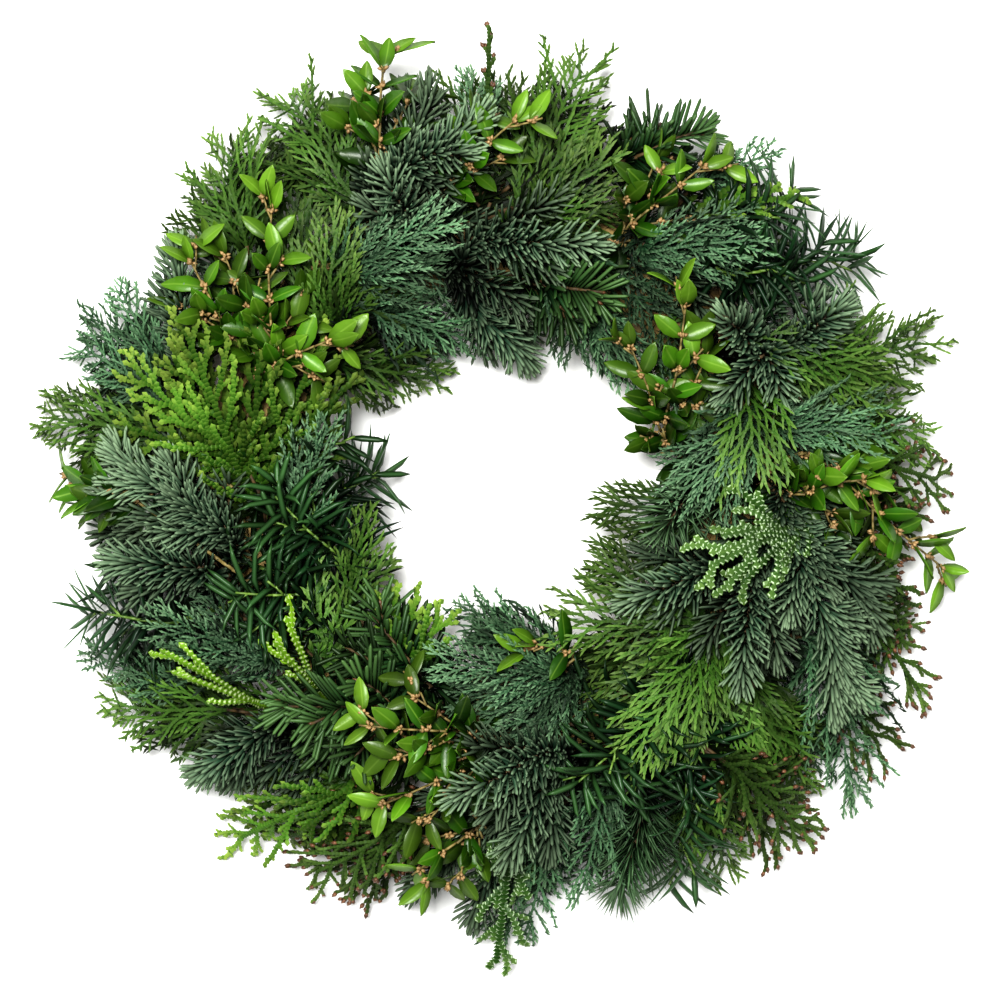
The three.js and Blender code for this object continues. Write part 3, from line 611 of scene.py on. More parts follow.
# %% Setting needles
def needled(kind, length, spread, coarse, draw):
    """A fir, pine or yew sprig. A coarse one, which lies low in the shade, has fewer needles."""
    plan = NEEDLES[kind]
    twigs = needled_twigs(plan, length, spread, draw)
    rows, run, order = stations(twigs, plan["gap"] * (1 + 0.4 * coarse))
    place, along = on_twig(twigs[rows], run)
    count = len(rows)
    near_end = smooth((run - (twigs[rows, LENGTH] - 9)) / 9)
    sweep = np.radians(draw.uniform(*plan["sweep"], count)) * (1 - 0.55 * near_end)
    around, length_share, side = around_twig(plan, order, draw)
    sideways = normalised(np.cross(OFF_PAGE, along))
    radial = np.cos(around)[:, None] * sideways + np.sin(around)[:, None] * OFF_PAGE
    forward = np.cos(sweep)[:, None] * along + np.sin(sweep)[:, None] * radial
    off, ahead = plan["flat_side"]
    up = off * OFF_PAGE + ahead * along + draw.normal(0, 0.05, (count, 3))
    taper = 1 - 0.3 * near_end - plan["foot_short"] * smooth(1 - run / 10)
    size = np.stack([
        np.full(count, plan["wide"]), plan["long"] * length_share * taper, np.full(count, plan["thick"])], 1)
    tone = np.clip(twigs[rows, TONE] * 0.5 + draw.random(count) * 0.5, 0, 1)
    tip = near_tip_share(twigs, rows, run)
    bend = plan["bend"] * draw.uniform(0.75, 1.25, count) + draw.normal(0, 0.03, count)
    sway = plan["sway"] * draw.normal(1, 0.8, count) * np.where(side == 0, -1, 1)
    made = [copies(plan["shape"], LEAVES, place, forward, up, size, bend, tone, tip, sway)]
    made.append(bark(twigs, *plan["bark"], draw))
    if plan["buds"]:
        end, heading = on_twig(twigs, twigs[:, LENGTH])
        made.append(copies("bud", BUDS, end - heading, heading, OFF_PAGE, (2.6, 4.0, 2.6), 0.0,
                           draw.random(len(end)), 1.0))
    return made


def triangles_in(pattern):
    return sum(len(batch["place"]) * SHAPES[batch["shape"]]["triangles"] for batch in pattern)


print("one yew sprig", triangles_in(needled("yew", 70, 46, 0.0, trial_draw)), "triangles")

# %% [markdown]
# ## Scaly twigs
# Cypress, thuja and hiba have no needles but tiny scales that overlap like braid. Their sprays are flat and
# fork twice: side twigs from the stem, and small twigs from those. Each scale is one small pointed shape.
# Every other one is narrower and thicker, which gives the braided edge.

# %% Kinds of scaly twig
# Sizes are in mm and angles in degrees. Side twigs are `side` apart and lean out by `lean`. Small twigs
# stand `small` apart and are up to `small_long` long. A scale is set every `step` and is `overlap` steps
# long. `bow` curves twigs, `rise` tilts them off the page, and `buds` is the share of ends with a bud.
SCALES = {
    "green_cypress": dict(
        shape="fine_scale", side=4.6, lean=36, small=4.0, small_long=13.0, wide=1.9, thick=1.4, step=2.3,
        overlap=3.3, bow=0.3, rise=0.18),
    "blue_cypress": dict(
        shape="fine_scale", side=4.0, lean=38, small=2.4, small_long=6.5, wide=1.5, thick=1.3, step=1.9,
        overlap=3.3, bow=0.25, rise=0.3),
    "tipped_cypress": dict(
        shape="scale", side=7.0, lean=36, small=7.0, small_long=10.0, wide=2.6, thick=1.9, step=2.1,
        overlap=3.0, bow=0.2, rise=0.18, buds=0.7),
    "lime_thuja": dict(
        shape="scale", side=8.0, lean=42, small=4.6, small_long=8.5, wide=3.3, thick=1.5, step=2.2,
        overlap=2.6, bow=0.35, rise=0.18),
    "hiba": dict(
        shape="scale", side=12, lean=46, small=8, small_long=10.0, wide=5.0, thick=1.6, step=2.6,
        overlap=2.1, bow=0.3, rise=0.18),
    "lime_shoot": dict(
        shape="scale", side=26, lean=32, small=15, small_long=7.0, wide=4.0, thick=3.0, step=2.6,
        overlap=2.4, bow=0.2, rise=0.18),
}
# How thick the main twig, the side twigs and the small twigs are beside each other.
RANKS = (1.2, 1.0, 0.94)
NARROW = 0.86
print("scales per 10 mm", {kind: round(10 / plan["step"]) for kind, plan in SCALES.items()})


# %% Growing scaly twigs
def scaly_twigs(plan, length, spread, draw):
    """The main twig, its side twigs and their small twigs. Side twigs are longest below the middle."""
    main = main_twig(length, draw)

    def side_reach(share, rows):
        return spread / 2 * np.sin(math.pi * (0.26 + 0.6 * share)) / math.sin(math.radians(plan["lean"]))

    sides = side_twigs(main, plan["side"], plan["lean"], side_reach, draw, 0.02, plan["bow"], plan["rise"])

    def small_reach(share, rows):
        return np.minimum(plan["small_long"], sides[rows, LENGTH] * 0.62) * (1.1 - 0.75 * share)

    small = side_twigs(sides, plan["small"], plan["lean"] - 6, small_reach, draw, 0.12,
                       plan["bow"] * 0.6, plan["rise"] * 1.3)
    return main, sides, small


def scaly(kind, length, spread, coarse, draw):
    """A flat spray of scaly twigs. A coarse one, which lies low in the shade, has fewer and longer scales."""
    plan = SCALES[kind]
    groups = scaly_twigs(plan, length, spread, draw)
    twigs = np.vstack(groups)
    rank = np.repeat(RANKS, [len(group) for group in groups])
    step = plan["step"] * (1 + 0.6 * coarse)
    rows, run, order = stations(twigs, step, 0.1)
    place, forward = on_twig(twigs[rows], run)
    along = run / twigs[rows, LENGTH]
    narrow = np.where(order % 2 == 0, 1.0, NARROW)
    taper = rank[rows] * (1.04 - 0.2 * along**4) * draw.uniform(0.92, 1.08, len(rows))
    long = step * plan["overlap"]
    place = place - forward * (long - 1.2 * step)
    size = np.stack([
        plan["wide"] * narrow * taper, np.full(len(rows), long), plan["thick"] * (2 - narrow) * taper], 1)
    tone = np.clip(twigs[rows, TONE] + draw.normal(0, 0.07, len(rows)), 0, 1)
    tip = np.clip(twigs[rows, SHARE] * 0.55 + along * 0.45, 0, 1)
    made = [copies(plan["shape"], LEAVES, place, forward, OFF_PAGE, size, 0.0, tone, tip)]
    if "buds" in plan:
        ends = np.vstack(groups[1:])
        end, heading = on_twig(ends, ends[:, LENGTH])
        chosen = draw.random(len(end)) < plan["buds"]
        made.append(copies("bud", BUDS, end[chosen] - 0.6 * heading[chosen], heading[chosen], OFF_PAGE,
                           (2.5, 3.6, 2.5), 0.0, draw.random(chosen.sum()), 1.0))
    return made


print("one cypress sprig", triangles_in(scaly("green_cypress", 70, 46, 0.0, trial_draw)), "triangles")

# %% [markdown]
# ## Box sprigs
# Box has small glossy leaves in pairs along a tan twig, each pair turned a quarter from the last, with
# clusters of golden buds where they sit. The pairs that would point into the page turn up to the light.

# %% Setting leaves
PAIRS_APART = 15.0
LEAF_LONG = 22.0
BUDS_IN_CLUSTER = 7


def leaves_on(twigs, side, draw):
    """One leaf of each pair, on the side that is given. Flat pairs open wide, and the others stand up."""
    rows, run, order = stations(twigs, PAIRS_APART, 0.7)
    place, along = on_twig(twigs[rows], run)
    sideways = normalised(np.cross(OFF_PAGE, along)) * side
    count = len(rows)
    share = run / twigs[rows, LENGTH]
    flat_pair = (order + rows) % 2 == 0
    open_angle = np.radians(np.where(flat_pair, draw.uniform(48, 74, count), draw.uniform(20, 44, count)))
    open_angle = open_angle * (1 - 0.35 * share**3)
    lift = np.radians(np.where(flat_pair, draw.uniform(-4, 24, count), draw.uniform(26, 56, count)))
    flat = np.cos(open_angle)[:, None] * along + np.sin(open_angle)[:, None] * sideways
    up = OFF_PAGE + 0.4 * along + draw.normal(0, 0.3, (count, 3))
    long = LEAF_LONG * (1 - 0.2 * share**2) * draw.uniform(0.78, 1.08, count)
    return {
        "place": place,
        "forward": np.cos(lift)[:, None] * flat + np.sin(lift)[:, None] * OFF_PAGE,
        "up": up,
        "size": np.stack([long * draw.uniform(0.4, 0.5, count), long, long * 0.5], 1),
        "tone": np.clip(twigs[rows, TONE] * 0.3 + draw.random(count) * 0.7, 0, 1),
        "tip": near_tip_share(twigs, rows, run),
        "bend": draw.normal(-0.12, 0.07, count),
        "sway": draw.normal(0, 0.08, count),
    }


def leafy(kind, length, spread, coarse, draw):
    """A box sprig. It is the same in the light and in the shade, so `coarse` changes nothing on it."""
    main = main_twig(length, draw)
    reach = np.clip(spread / 2 - 2, 12, 26)
    sides = side_twigs(main, 32, 42, lambda share, rows: np.minimum(reach, length * (1 - share) + 10), draw,
                       0.08, 0.3, 0.2)
    twigs = np.vstack([main, sides])
    halves = [leaves_on(twigs, side, draw) for side in (1, -1)]
    joined = {name: np.concatenate([half[name] for half in halves]) for name in halves[0]}
    made = [copies("leaf", LEAVES, **joined), bark(twigs, 1.6, 1.1, draw)]
    rows, run, _ = stations(twigs, PAIRS_APART, 0.7)
    rows, run = np.repeat(rows, BUDS_IN_CLUSTER), np.repeat(run, BUDS_IN_CLUSTER)
    place, along = on_twig(twigs[rows], run)
    count = len(rows)
    out = normalised(draw.normal(0, 1, (count, 3)) + OFF_PAGE * 0.9)
    made.append(copies("bud", BUDS, place + out * 0.7 + along * draw.normal(0, 0.8, (count, 1)),
                       normalised(out + along * 0.5), along, (2.2, 3.0, 2.2), 0.0, draw.random(count), 1.0))
    return made


HABITS = {**{kind: needled for kind in NEEDLES}, **{kind: scaly for kind in SCALES}, "box": leafy}
print("one box sprig", triangles_in(leafy("box", 70, 46, 0.0, trial_draw)), "triangles")

# %% [markdown]
# ## Bending a pattern along its line
# Every copy knows where it stands on the flat pattern. Its place along the stem picks a frame on the line,
# and the frame carries it into the wreath. Greens that would sink through the table bend up and lie on it,
# as real ones do, so nothing has to be cut away.

# %% From the page to the wreath
# Greens start to bend up from the table at this height, in mm.
GREENS_BEND_UNDER = 9.0


def frames_at(line, u):
    """Place and frame at a distance from the first leaves. Past the line's end it goes straight on."""
    run = line["leafy"] + u
    inside = np.clip(run, 0, line["length"])
    picked = [np.stack([np.interp(inside, line["run"], line[name][:, k]) for k in range(3)], 1)
              for name in ("places", "along", "side", "up")]
    places, along, side, up = picked[0], *(normalised(v) for v in picked[1:])
    return places + along * (run - inside)[:, None], along, side, up


def laid(line, batch, bend_under):
    """The corners of all copies in a batch, carried from the flat pattern onto the line."""
    origin, along, side, up = frames_at(line, batch["place"][:, 0])

    def carried(v):
        return along * v[:, 0:1] + side * v[:, 1:2] + up * v[:, 2:3]

    at = origin + side * batch["place"][:, 1:2] + up * batch["place"][:, 2:3]
    forward = normalised(carried(batch["forward"]))
    lift = carried(batch["up"])
    lift = normalised(lift - forward * np.sum(lift * forward, 1, keepdims=True))
    across = np.cross(forward, lift)
    x, y, z = SHAPES[batch["shape"]]["places"].T
    size = batch["size"]
    rise = z * size[:, 2:3] + batch["bend"][:, None] * size[:, 1:2] * y**2
    swing = x * size[:, 0:1] + batch["sway"][:, None] * size[:, 1:2] * y**2
    corners = (at[:, None] + across[:, None] * swing[..., None]
               + forward[:, None] * (y * size[:, 1:2])[..., None] + lift[:, None] * rise[..., None])
    z = corners[..., 2]
    bent = bend_under * np.exp(np.minimum(z - bend_under, 0) / bend_under)
    corners[..., 2] = np.where(z < bend_under, bent, z)
    return corners


# A line along X, for patterns that aren't bent.
STRAIGHT = {
    "run": np.array([0.0, 1.0]), "places": np.zeros((2, 3)), "length": 1.0, "leafy": 0.0,
    **{name: np.tile(axis, (2, 1)) for name, axis in zip(("along", "side", "up"), np.eye(3))},
}
needles = laid(STRAIGHT, needled("yew", 70, 46, 0.0, trial_draw)[0], GREENS_BEND_UNDER)
print("a yew sprig laid straight spans", [np.ptp(needles[..., k]).round(1) for k in range(2)], "mm")

# %% [markdown]
# ### One mesh for each piece
# Thousands of separate objects would be slow and hard to handle, so all copies of a bunch become one mesh.
# Each corner keeps five values for the finishes to read: the copy's tone, how near the sprig's tip it is, how
# much painted shade it gets for lying deep, and where the corner is along and across its own needle, scale or
# leaf.

# %% Filling a mesh
CORNER_VALUES = ("tone", "tip", "inner", "along", "across")


def finished_mesh(name, batches, finishes, bend_under=GREENS_BEND_UNDER):
    corners, loops, starts, finish, rounded = ([] for _ in range(5))
    kept = {label: [] for label in CORNER_VALUES}
    corner_count = loop_count = 0
    for line, batch in batches:
        shape = SHAPES[batch["shape"]]
        placed = laid(line, batch, bend_under)
        count, each = placed.shape[:2]
        numbers = np.arange(count)[:, None]
        corners.append(placed.reshape(-1, 3))
        loops.append((shape["loops"] + corner_count + numbers * each).ravel())
        starts.append((shape["starts"] + loop_count + numbers * len(shape["loops"])).ravel())
        finish.append(np.full(count * len(shape["starts"]), batch["finish"]))
        rounded.append(np.full(count * len(shape["starts"]), batch["shape"] not in CRISP))
        for label in ("tone", "tip", "inner"):
            kept[label].append(np.repeat(batch[label], each))
        kept["along"].append(np.tile(shape["places"][:, 1], count))
        kept["across"].append(np.tile(np.abs(shape["places"][:, 0]) * 2, count))
        corner_count += count * each
        loop_count += count * len(shape["loops"])
    mesh = bpy.data.meshes.new(name)
    mesh.vertices.add(corner_count)
    mesh.vertices.foreach_set("co", (np.vstack(corners) * MM).astype(np.float32).ravel())
    mesh.loops.add(loop_count)
    mesh.loops.foreach_set("vertex_index", np.concatenate(loops).astype(np.int32))
    starts = np.concatenate(starts).astype(np.int32)
    mesh.polygons.add(len(starts))
    mesh.polygons.foreach_set("loop_start", starts)
    mesh.polygons.foreach_set("material_index", np.concatenate(finish).astype(np.int32))
    mesh.update(calc_edges=True)
    mesh.polygons.foreach_set("use_smooth", np.concatenate(rounded))
    for label, values in kept.items():
        values_on_corners = mesh.attributes.new(label, "FLOAT", "POINT")
        values_on_corners.data.foreach_set("value", np.concatenate(values).astype(np.float32))
    for material in finishes:
        mesh.materials.append(material)
    piece = bpy.data.objects.new(name, mesh)
    bpy.context.scene.collection.objects.link(piece)
    return piece


print("kept on the corners:", *CORNER_VALUES)

# %% [markdown]
# ## Finishes
# A leaf isn't one colour. Each copy carries a tone of its own, and its far end and the new growth at a
# sprig's tip are lighter. Its root, the foot of the sprig and all that lies low in the wreath get painted
# shade. A slow cloud of noise in the wreath's own space makes neighbours differ. All colours start as sRGB
# values seen in the photograph and are turned linear in one place. One small function adds a node, sets it
# and links it, so that a finish reads as a list of steps.

# %% Colour and nodes
def linear(hex_colour, alpha=1.0):
    values = [int(hex_colour[i:i + 2], 16) / 255 for i in (1, 3, 5)]
    return (*(v / 12.92 if v <= 0.04045 else ((v + 0.055) / 1.055) ** 2.4 for v in values), alpha)


def new_material(name):
    material = bpy.data.materials.new(name)
    material.use_nodes = True
    material.node_tree.nodes.clear()
    return material


def add_node(material, kind, inputs, output=0, **settings):
    """Adds one shader node and gives back one of its outputs.

    An input is a plain value, a colour as sRGB hex, or the output of another node, which is linked to it.
    """
    node = material.node_tree.nodes.new("ShaderNode" + kind)
    for name, value in settings.items():
        setattr(node, name, value)
    for name, value in inputs.items():
        if isinstance(value, bpy.types.NodeSocket):
            material.node_tree.links.new(value, node.inputs[name])
        else:
            node.inputs[name].default_value = linear(value) if isinstance(value, str) else value
    return node.outputs[output] if node.outputs else None


def surfaced(material, inputs):
    """Ends a material with one surface, whose values and links are given by name."""
    shader = add_node(material, "BsdfPrincipled", inputs)
    add_node(material, "OutputMaterial", {"Surface": shader})
    return material


# A Mix node has sockets for every type of value. These are the numbers of those for colours.
MIX_A, MIX_B, MIX_RESULT = 6, 7, 2
LIMITS = ("From Min", "From Max", "To Min", "To Max")
print("leaf green in linear values", [round(v, 3) for v in linear("#4c8018")])

# %% [markdown]
# ### The surface of a leaf
# One function makes all greens, because a needle, a scale and a leaf are the same in kind: a waxy skin over
# green. What differs is the colours, the gloss, and which details show: a pale rim, a midrib, or the white
# marks that some scales have below. The detail is painted from the corner values, so it follows each needle.

# %% A green surface
# The clouds are about 26 mm across and the grain about 1 mm, as much as still shows.
CLOUDS_PER_METRE, GRAIN_PER_METRE = 38.0, 900.0
GRAIN_DEPTH = 0.0003


def green_finish(name, dark, light, tip, rough, gloss=0.2, coat=0.0, ends=0.4, young=0.6, rim=0.0,
                 fade=0.45, midrib=None, marks=None):
    """A living leaf's surface. `ends`, `young` and `rim` say how strongly the tip colour shows there."""
    material = new_material(name)
    place = add_node(material, "TexCoord", {}, "Object")
    read = {label: add_node(material, "Attribute", {}, "Fac", attribute_name=label)
            for label in CORNER_VALUES}
    layers = [("tip", (0.5, 1.1, 0.0, young), tip), ("along", (fade, fade + 0.45, 0.0, ends), tip)]
    if rim:
        layers.append(("across", (0.4, 0.9, 0.0, rim), tip))
    if midrib:
        layers.append(("across", (0.0, 0.14, 0.4, 0.0), midrib))
    colour = add_node(
        material, "Mix", {0: read["tone"], MIX_A: dark, MIX_B: light}, MIX_RESULT, data_type="RGBA")
    for label, limits, shown in layers:
        strength = add_node(material, "MapRange", {"Value": read[label], **dict(zip(LIMITS, limits))})
        colour = add_node(
            material, "Mix", {0: strength, MIX_A: colour, MIX_B: shown}, MIX_RESULT, data_type="RGBA")
    if marks:
        colour = marked(material, colour, read["along"], read["across"], marks)
    clouds = add_node(material, "TexNoise", {"Vector": place, "Scale": CLOUDS_PER_METRE, "Detail": 2.0})
    shade = add_node(material, "MapRange", {"Value": clouds, **dict(zip(LIMITS, (0.3, 0.7, 0.74, 1.15)))})
    # Painted shade: darker low in the wreath, at the foot of a sprig and at the root of a leaf.
    for label, limits in (("inner", (0.0, 1.0, 1.0, 0.1)), ("tip", (0.0, 0.5, 0.5, 1.0)),
                          ("along", (0.0, 0.45, 0.45, 1.0))):
        share = add_node(material, "MapRange", {"Value": read[label], **dict(zip(LIMITS, limits))})
        shade = add_node(material, "Math", {0: shade, 1: share}, operation="MULTIPLY")
    shaded = add_node(material, "HueSaturation", {"Value": shade, "Color": colour})
    grain = add_node(material, "TexNoise", {"Vector": place, "Scale": GRAIN_PER_METRE})
    bump = add_node(material, "Bump", {"Strength": 0.25, "Distance": GRAIN_DEPTH, "Height": grain})
    return surfaced(material, {
        "Base Color": shaded, "Roughness": rough, "IOR": 1.45, "Specular IOR Level": gloss,
        "Coat Weight": coat, "Coat Roughness": 0.25, "Normal": bump})


def marked(material, colour, along, across, marks):
    """Two slanting pale strokes on each scale, one on either side of its midrib."""
    slant = add_node(material, "Math", {0: along, 1: 3.3, 2: -2.31}, operation="MULTIPLY_ADD")
    from_edge = add_node(material, "Math", {0: slant, 1: across})
    stroke = add_node(material, "Math", {0: from_edge, 1: 0.6, 2: 0.22}, operation="COMPARE")
    beside_rib = add_node(material, "Math", {0: across, 1: 0.5, 2: 0.26}, operation="COMPARE")
    patch = add_node(material, "Math", {0: stroke, 1: beside_rib}, operation="MULTIPLY")
    return add_node(
        material, "Mix", {0: patch, MIX_A: colour, MIX_B: marks}, MIX_RESULT, data_type="RGBA")


# %% [markdown]
# ### The greens, one by one
# Each finish is named for the plant and for how its surface feels. Its colours are the dark and the light
# tone and the tip, and then come its roughness and its gloss. A waxy bloom scatters the light, so it is rough
# with little gloss, and its tip colour is pale. Box, yew and Nordmann fir have a smooth skin, which is a
# lower roughness, more gloss and a very thin coat.

# %% Greens
GREENS = {
    # Waxy needles: dark and green at the root, and greyed by the bloom at their ends and rims.
    "noble_fir": green_finish(
        "noble_fir_waxy_needles", "#102218", "#385642", "#92a686", 0.5, 0.12, ends=0.6, rim=0.3, fade=0.6),
    # Smooth flat needles: very dark, with a soft shine and lighter rims that part them.
    "nordmann_fir": green_finish(
        "nordmann_fir_glossy_needles", "#071a0c", "#204422", "#64844e", 0.42, 0.3, 0.05, ends=0.3, rim=0.4),
    # Thin needles: an even grey-green.
    "pine": green_finish("pine_thin_needles", "#1e3a22", "#587852", "#88a47c", 0.45),
    # Leathery needles: the darkest green, with a satin shine.
    "yew": green_finish("yew_satin_needles", "#06180a", "#204426", "#4e7440", 0.42, 0.4, 0.05, ends=0.15),
    # Fresh scales: a warm grass green, lighter at the tips.
    "green_cypress": green_finish(
        "cypress_fresh_scales", "#16340a", "#486e2c", "#869c58", 0.46, 0.12, ends=0.25),
    # Scales with a bloom: blue-green and matt, with pale ends.
    "blue_cypress": green_finish(
        "cypress_blue_bloom", "#0c2414", "#365a3c", "#96b68e", 0.52, 0.12, ends=0.4),
    # Older scales: a dull olive.
    "tipped_cypress": green_finish(
        "cypress_olive_scales", "#1a3212", "#46642a", "#788a4e", 0.5, 0.12, ends=0.3),
    # Soft flat scales: yellow-green, most so in the new growth.
    "lime_thuja": green_finish(
        "thuja_lime_scales", "#184208", "#467224", "#a2b65a", 0.44, 0.12, ends=0.25, young=0.85),
    # Young shoots of it: light all over, with pale marks on their scales.
    "lime_shoot": green_finish(
        "thuja_lime_shoot", "#547f1c", "#769c28", "#9cbe40", 0.44, 0.2, ends=0.2, marks="#b4c490"),
    # Broad firm scales, seen from below: mid green with white marks.
    "hiba": green_finish(
        "hiba_broad_scales", "#224610", "#486634", "#7a9450", 0.4, 0.2, ends=0.2, marks="#aabc9a"),
    # Leathery leaves: bright and glossy, with a lighter midrib.
    "box": green_finish(
        "box_glossy_leaf", "#184208", "#4c8018", "#80a036", 0.38, 0.35, 0.08, ends=0.1, midrib="#8cac4c"),
}
print("green finishes", len(GREENS))

# %% [markdown]
# ### Bark, buds and straw
# These are dry and plain: two colours in a noise, and a bump from the same noise. Its grain is 2 to 6 mm,
# coarser than real bark's, because nothing finer shows at this size.

# %% Plain finishes
def plain_finish(name, dark, light, rough, per_metre, depth):
    material = new_material(name)
    place = add_node(material, "TexCoord", {}, "Object")
    noise = add_node(material, "TexNoise", {"Vector": place, "Scale": per_metre, "Detail": 3.0})
    share = add_node(material, "MapRange", {"Value": noise, "From Min": 0.35, "From Max": 0.65})
    colour = add_node(material, "Mix", {0: share, MIX_A: dark, MIX_B: light}, MIX_RESULT, data_type="RGBA")
    bump = add_node(material, "Bump", {"Strength": 0.5, "Distance": depth, "Height": noise})
    return surfaced(material, {"Base Color": colour, "Roughness": rough, "Normal": bump})


BARKS = {
    # Young conifer bark: brown and matt, with fine cracks.
    "brown": plain_finish("bark_young_brown", "#33281a", "#5c4a2c", 0.7, 300, 0.0003),
    # Box twigs: pale and smoother.
    "tan": plain_finish("bark_box_tan", "#5c5230", "#8a7c4c", 0.6, 300, 0.0003),
    # This year's yew shoots: still green.
    "green": plain_finish("bark_green_shoot", "#46602a", "#708c40", 0.5, 300, 0.0002),
}
BUDDING = {
    # Fir and cypress buds: brown, with a little shine of resin.
    "brown": plain_finish("buds_resin_brown", "#4c3422", "#7a563c", 0.45, 500, 0.0002),
    # Box buds: golden and dry.
    "golden": plain_finish("buds_golden_scales", "#7c6440", "#ac9066", 0.5, 500, 0.0002),
}
WOOD_OF = {"box": "tan", "yew": "green"}
BUDS_OF = {"box": "golden"}
print("barks", len(BARKS), "buds", len(BUDDING))

# %% [markdown]
# ## Dressing the bunches
# The photograph shows no gaps down to the straw, only deep shade, because each visible sprig has others
# beside and below it. So every spray of a solid gets its own sprig on the solid's rib, and one to three
# companions that fan out from the same foot and lie lower. Painting the shade on what lies low, as well as
# lighting it, keeps the upper sprigs clear of the lower ones.

# %% Fans of companions
# Degrees to the side, share of the length, share of the width, how much lower, and the bare foot, in mm.
WIDE_FAN = [
    (0, 1.0, 1.0, 0.0, 4), (19, 0.88, 0.9, 6.0, 12), (-20, 0.82, 0.9, 9.0, 12), (4, 0.72, 1.1, 15.0, 34)]
NEEDLE_FAN = [(0, 1.0, 1.0, 0.0, 6), (20, 0.84, 0.9, 8.0, 24), (-22, 0.8, 0.9, 11.0, 24)]
FANS = {
    **{kind: WIDE_FAN for kind in SCALES},
    **{kind: NEEDLE_FAN for kind in NEEDLES},
    "lime_shoot": [(0, 1.0, 1.0, 0.0, 4), (16, 0.85, 0.5, 1.0, 4)],
    "hiba": [(0, 1.0, 1.0, 0.0, 4), (22, 0.85, 0.7, 3.0, 8), (-22, 0.8, 0.7, 4.0, 8)],
    "box": [(0, 1.0, 1.0, 0.0, 6), (24, 0.8, 0.9, 9.0, 20), (-25, 0.74, 0.9, 12.0, 24)],
}
# Needles, scales and leaves reach this far past a twig's end, in mm, so twigs end so much before the rib.
OVERSHOOT = {
    "noble_fir": 9, "nordmann_fir": 13, "pine": 12, "yew": 16, "box": 11, **{kind: 5 for kind in SCALES}}
# How far the greens reach in and out from the ring's middle, every 15 degrees. The tips of companions stay
# this much inside both edges, in mm, and no part of their ribs lies lower than the last value.
EDGE_STEP = 15
INNER_EDGE = [69, 70, 73, 71, 67, 67, 65, 65, 68, 63, 70, 66, 64, 72, 72, 76, 74, 73, 67, 73, 65, 60, 55, 58]
OUTER_EDGE = [209, 214, 202, 201, 198, 202, 208, 217, 215, 215, 207, 219,
              222, 215, 222, 215, 224, 220, 225, 214, 220, 228, 222, 217]
INSIDE_EDGES = (6, -9)
LOWEST = 9.0


def fanned(rib, degrees, share, drop, draw):
    """The rib of a companion: swung to one side about its foot, drawn in and lowered."""
    turn = math.radians(degrees + draw.normal(0, 3))
    c, s = math.cos(turn), math.sin(turn)
    swing = np.array([[c, -s, 0], [s, c, 0], [0, 0, 1]])
    moved = [rib[0] + swing @ ((p - rib[0]) * [share, share, 1]) for p in rib]
    lowered = [p - [0, 0, drop * k] for p, k in zip(moved, (0.3, 0.8, 1.0))]
    off = lowered[2][:2] - RING_MIDDLE
    own = np.linalg.norm(off)
    towards = math.degrees(math.atan2(off[1], off[0])) % 360
    nearest, furthest = (
        np.interp(towards, np.arange(0, 360 + EDGE_STEP, EDGE_STEP), edge + edge[:1]) + margin
        for edge, margin in zip((INNER_EDGE, OUTER_EDGE), INSIDE_EDGES))
    lowered[2][:2] = RING_MIDDLE + off * np.clip(own, nearest, furthest) / own
    for p in lowered:
        p[2] = max(p[2], LOWEST)
    return lowered


print("most sprigs on one rib", max(len(fan) for fan in FANS.values()))
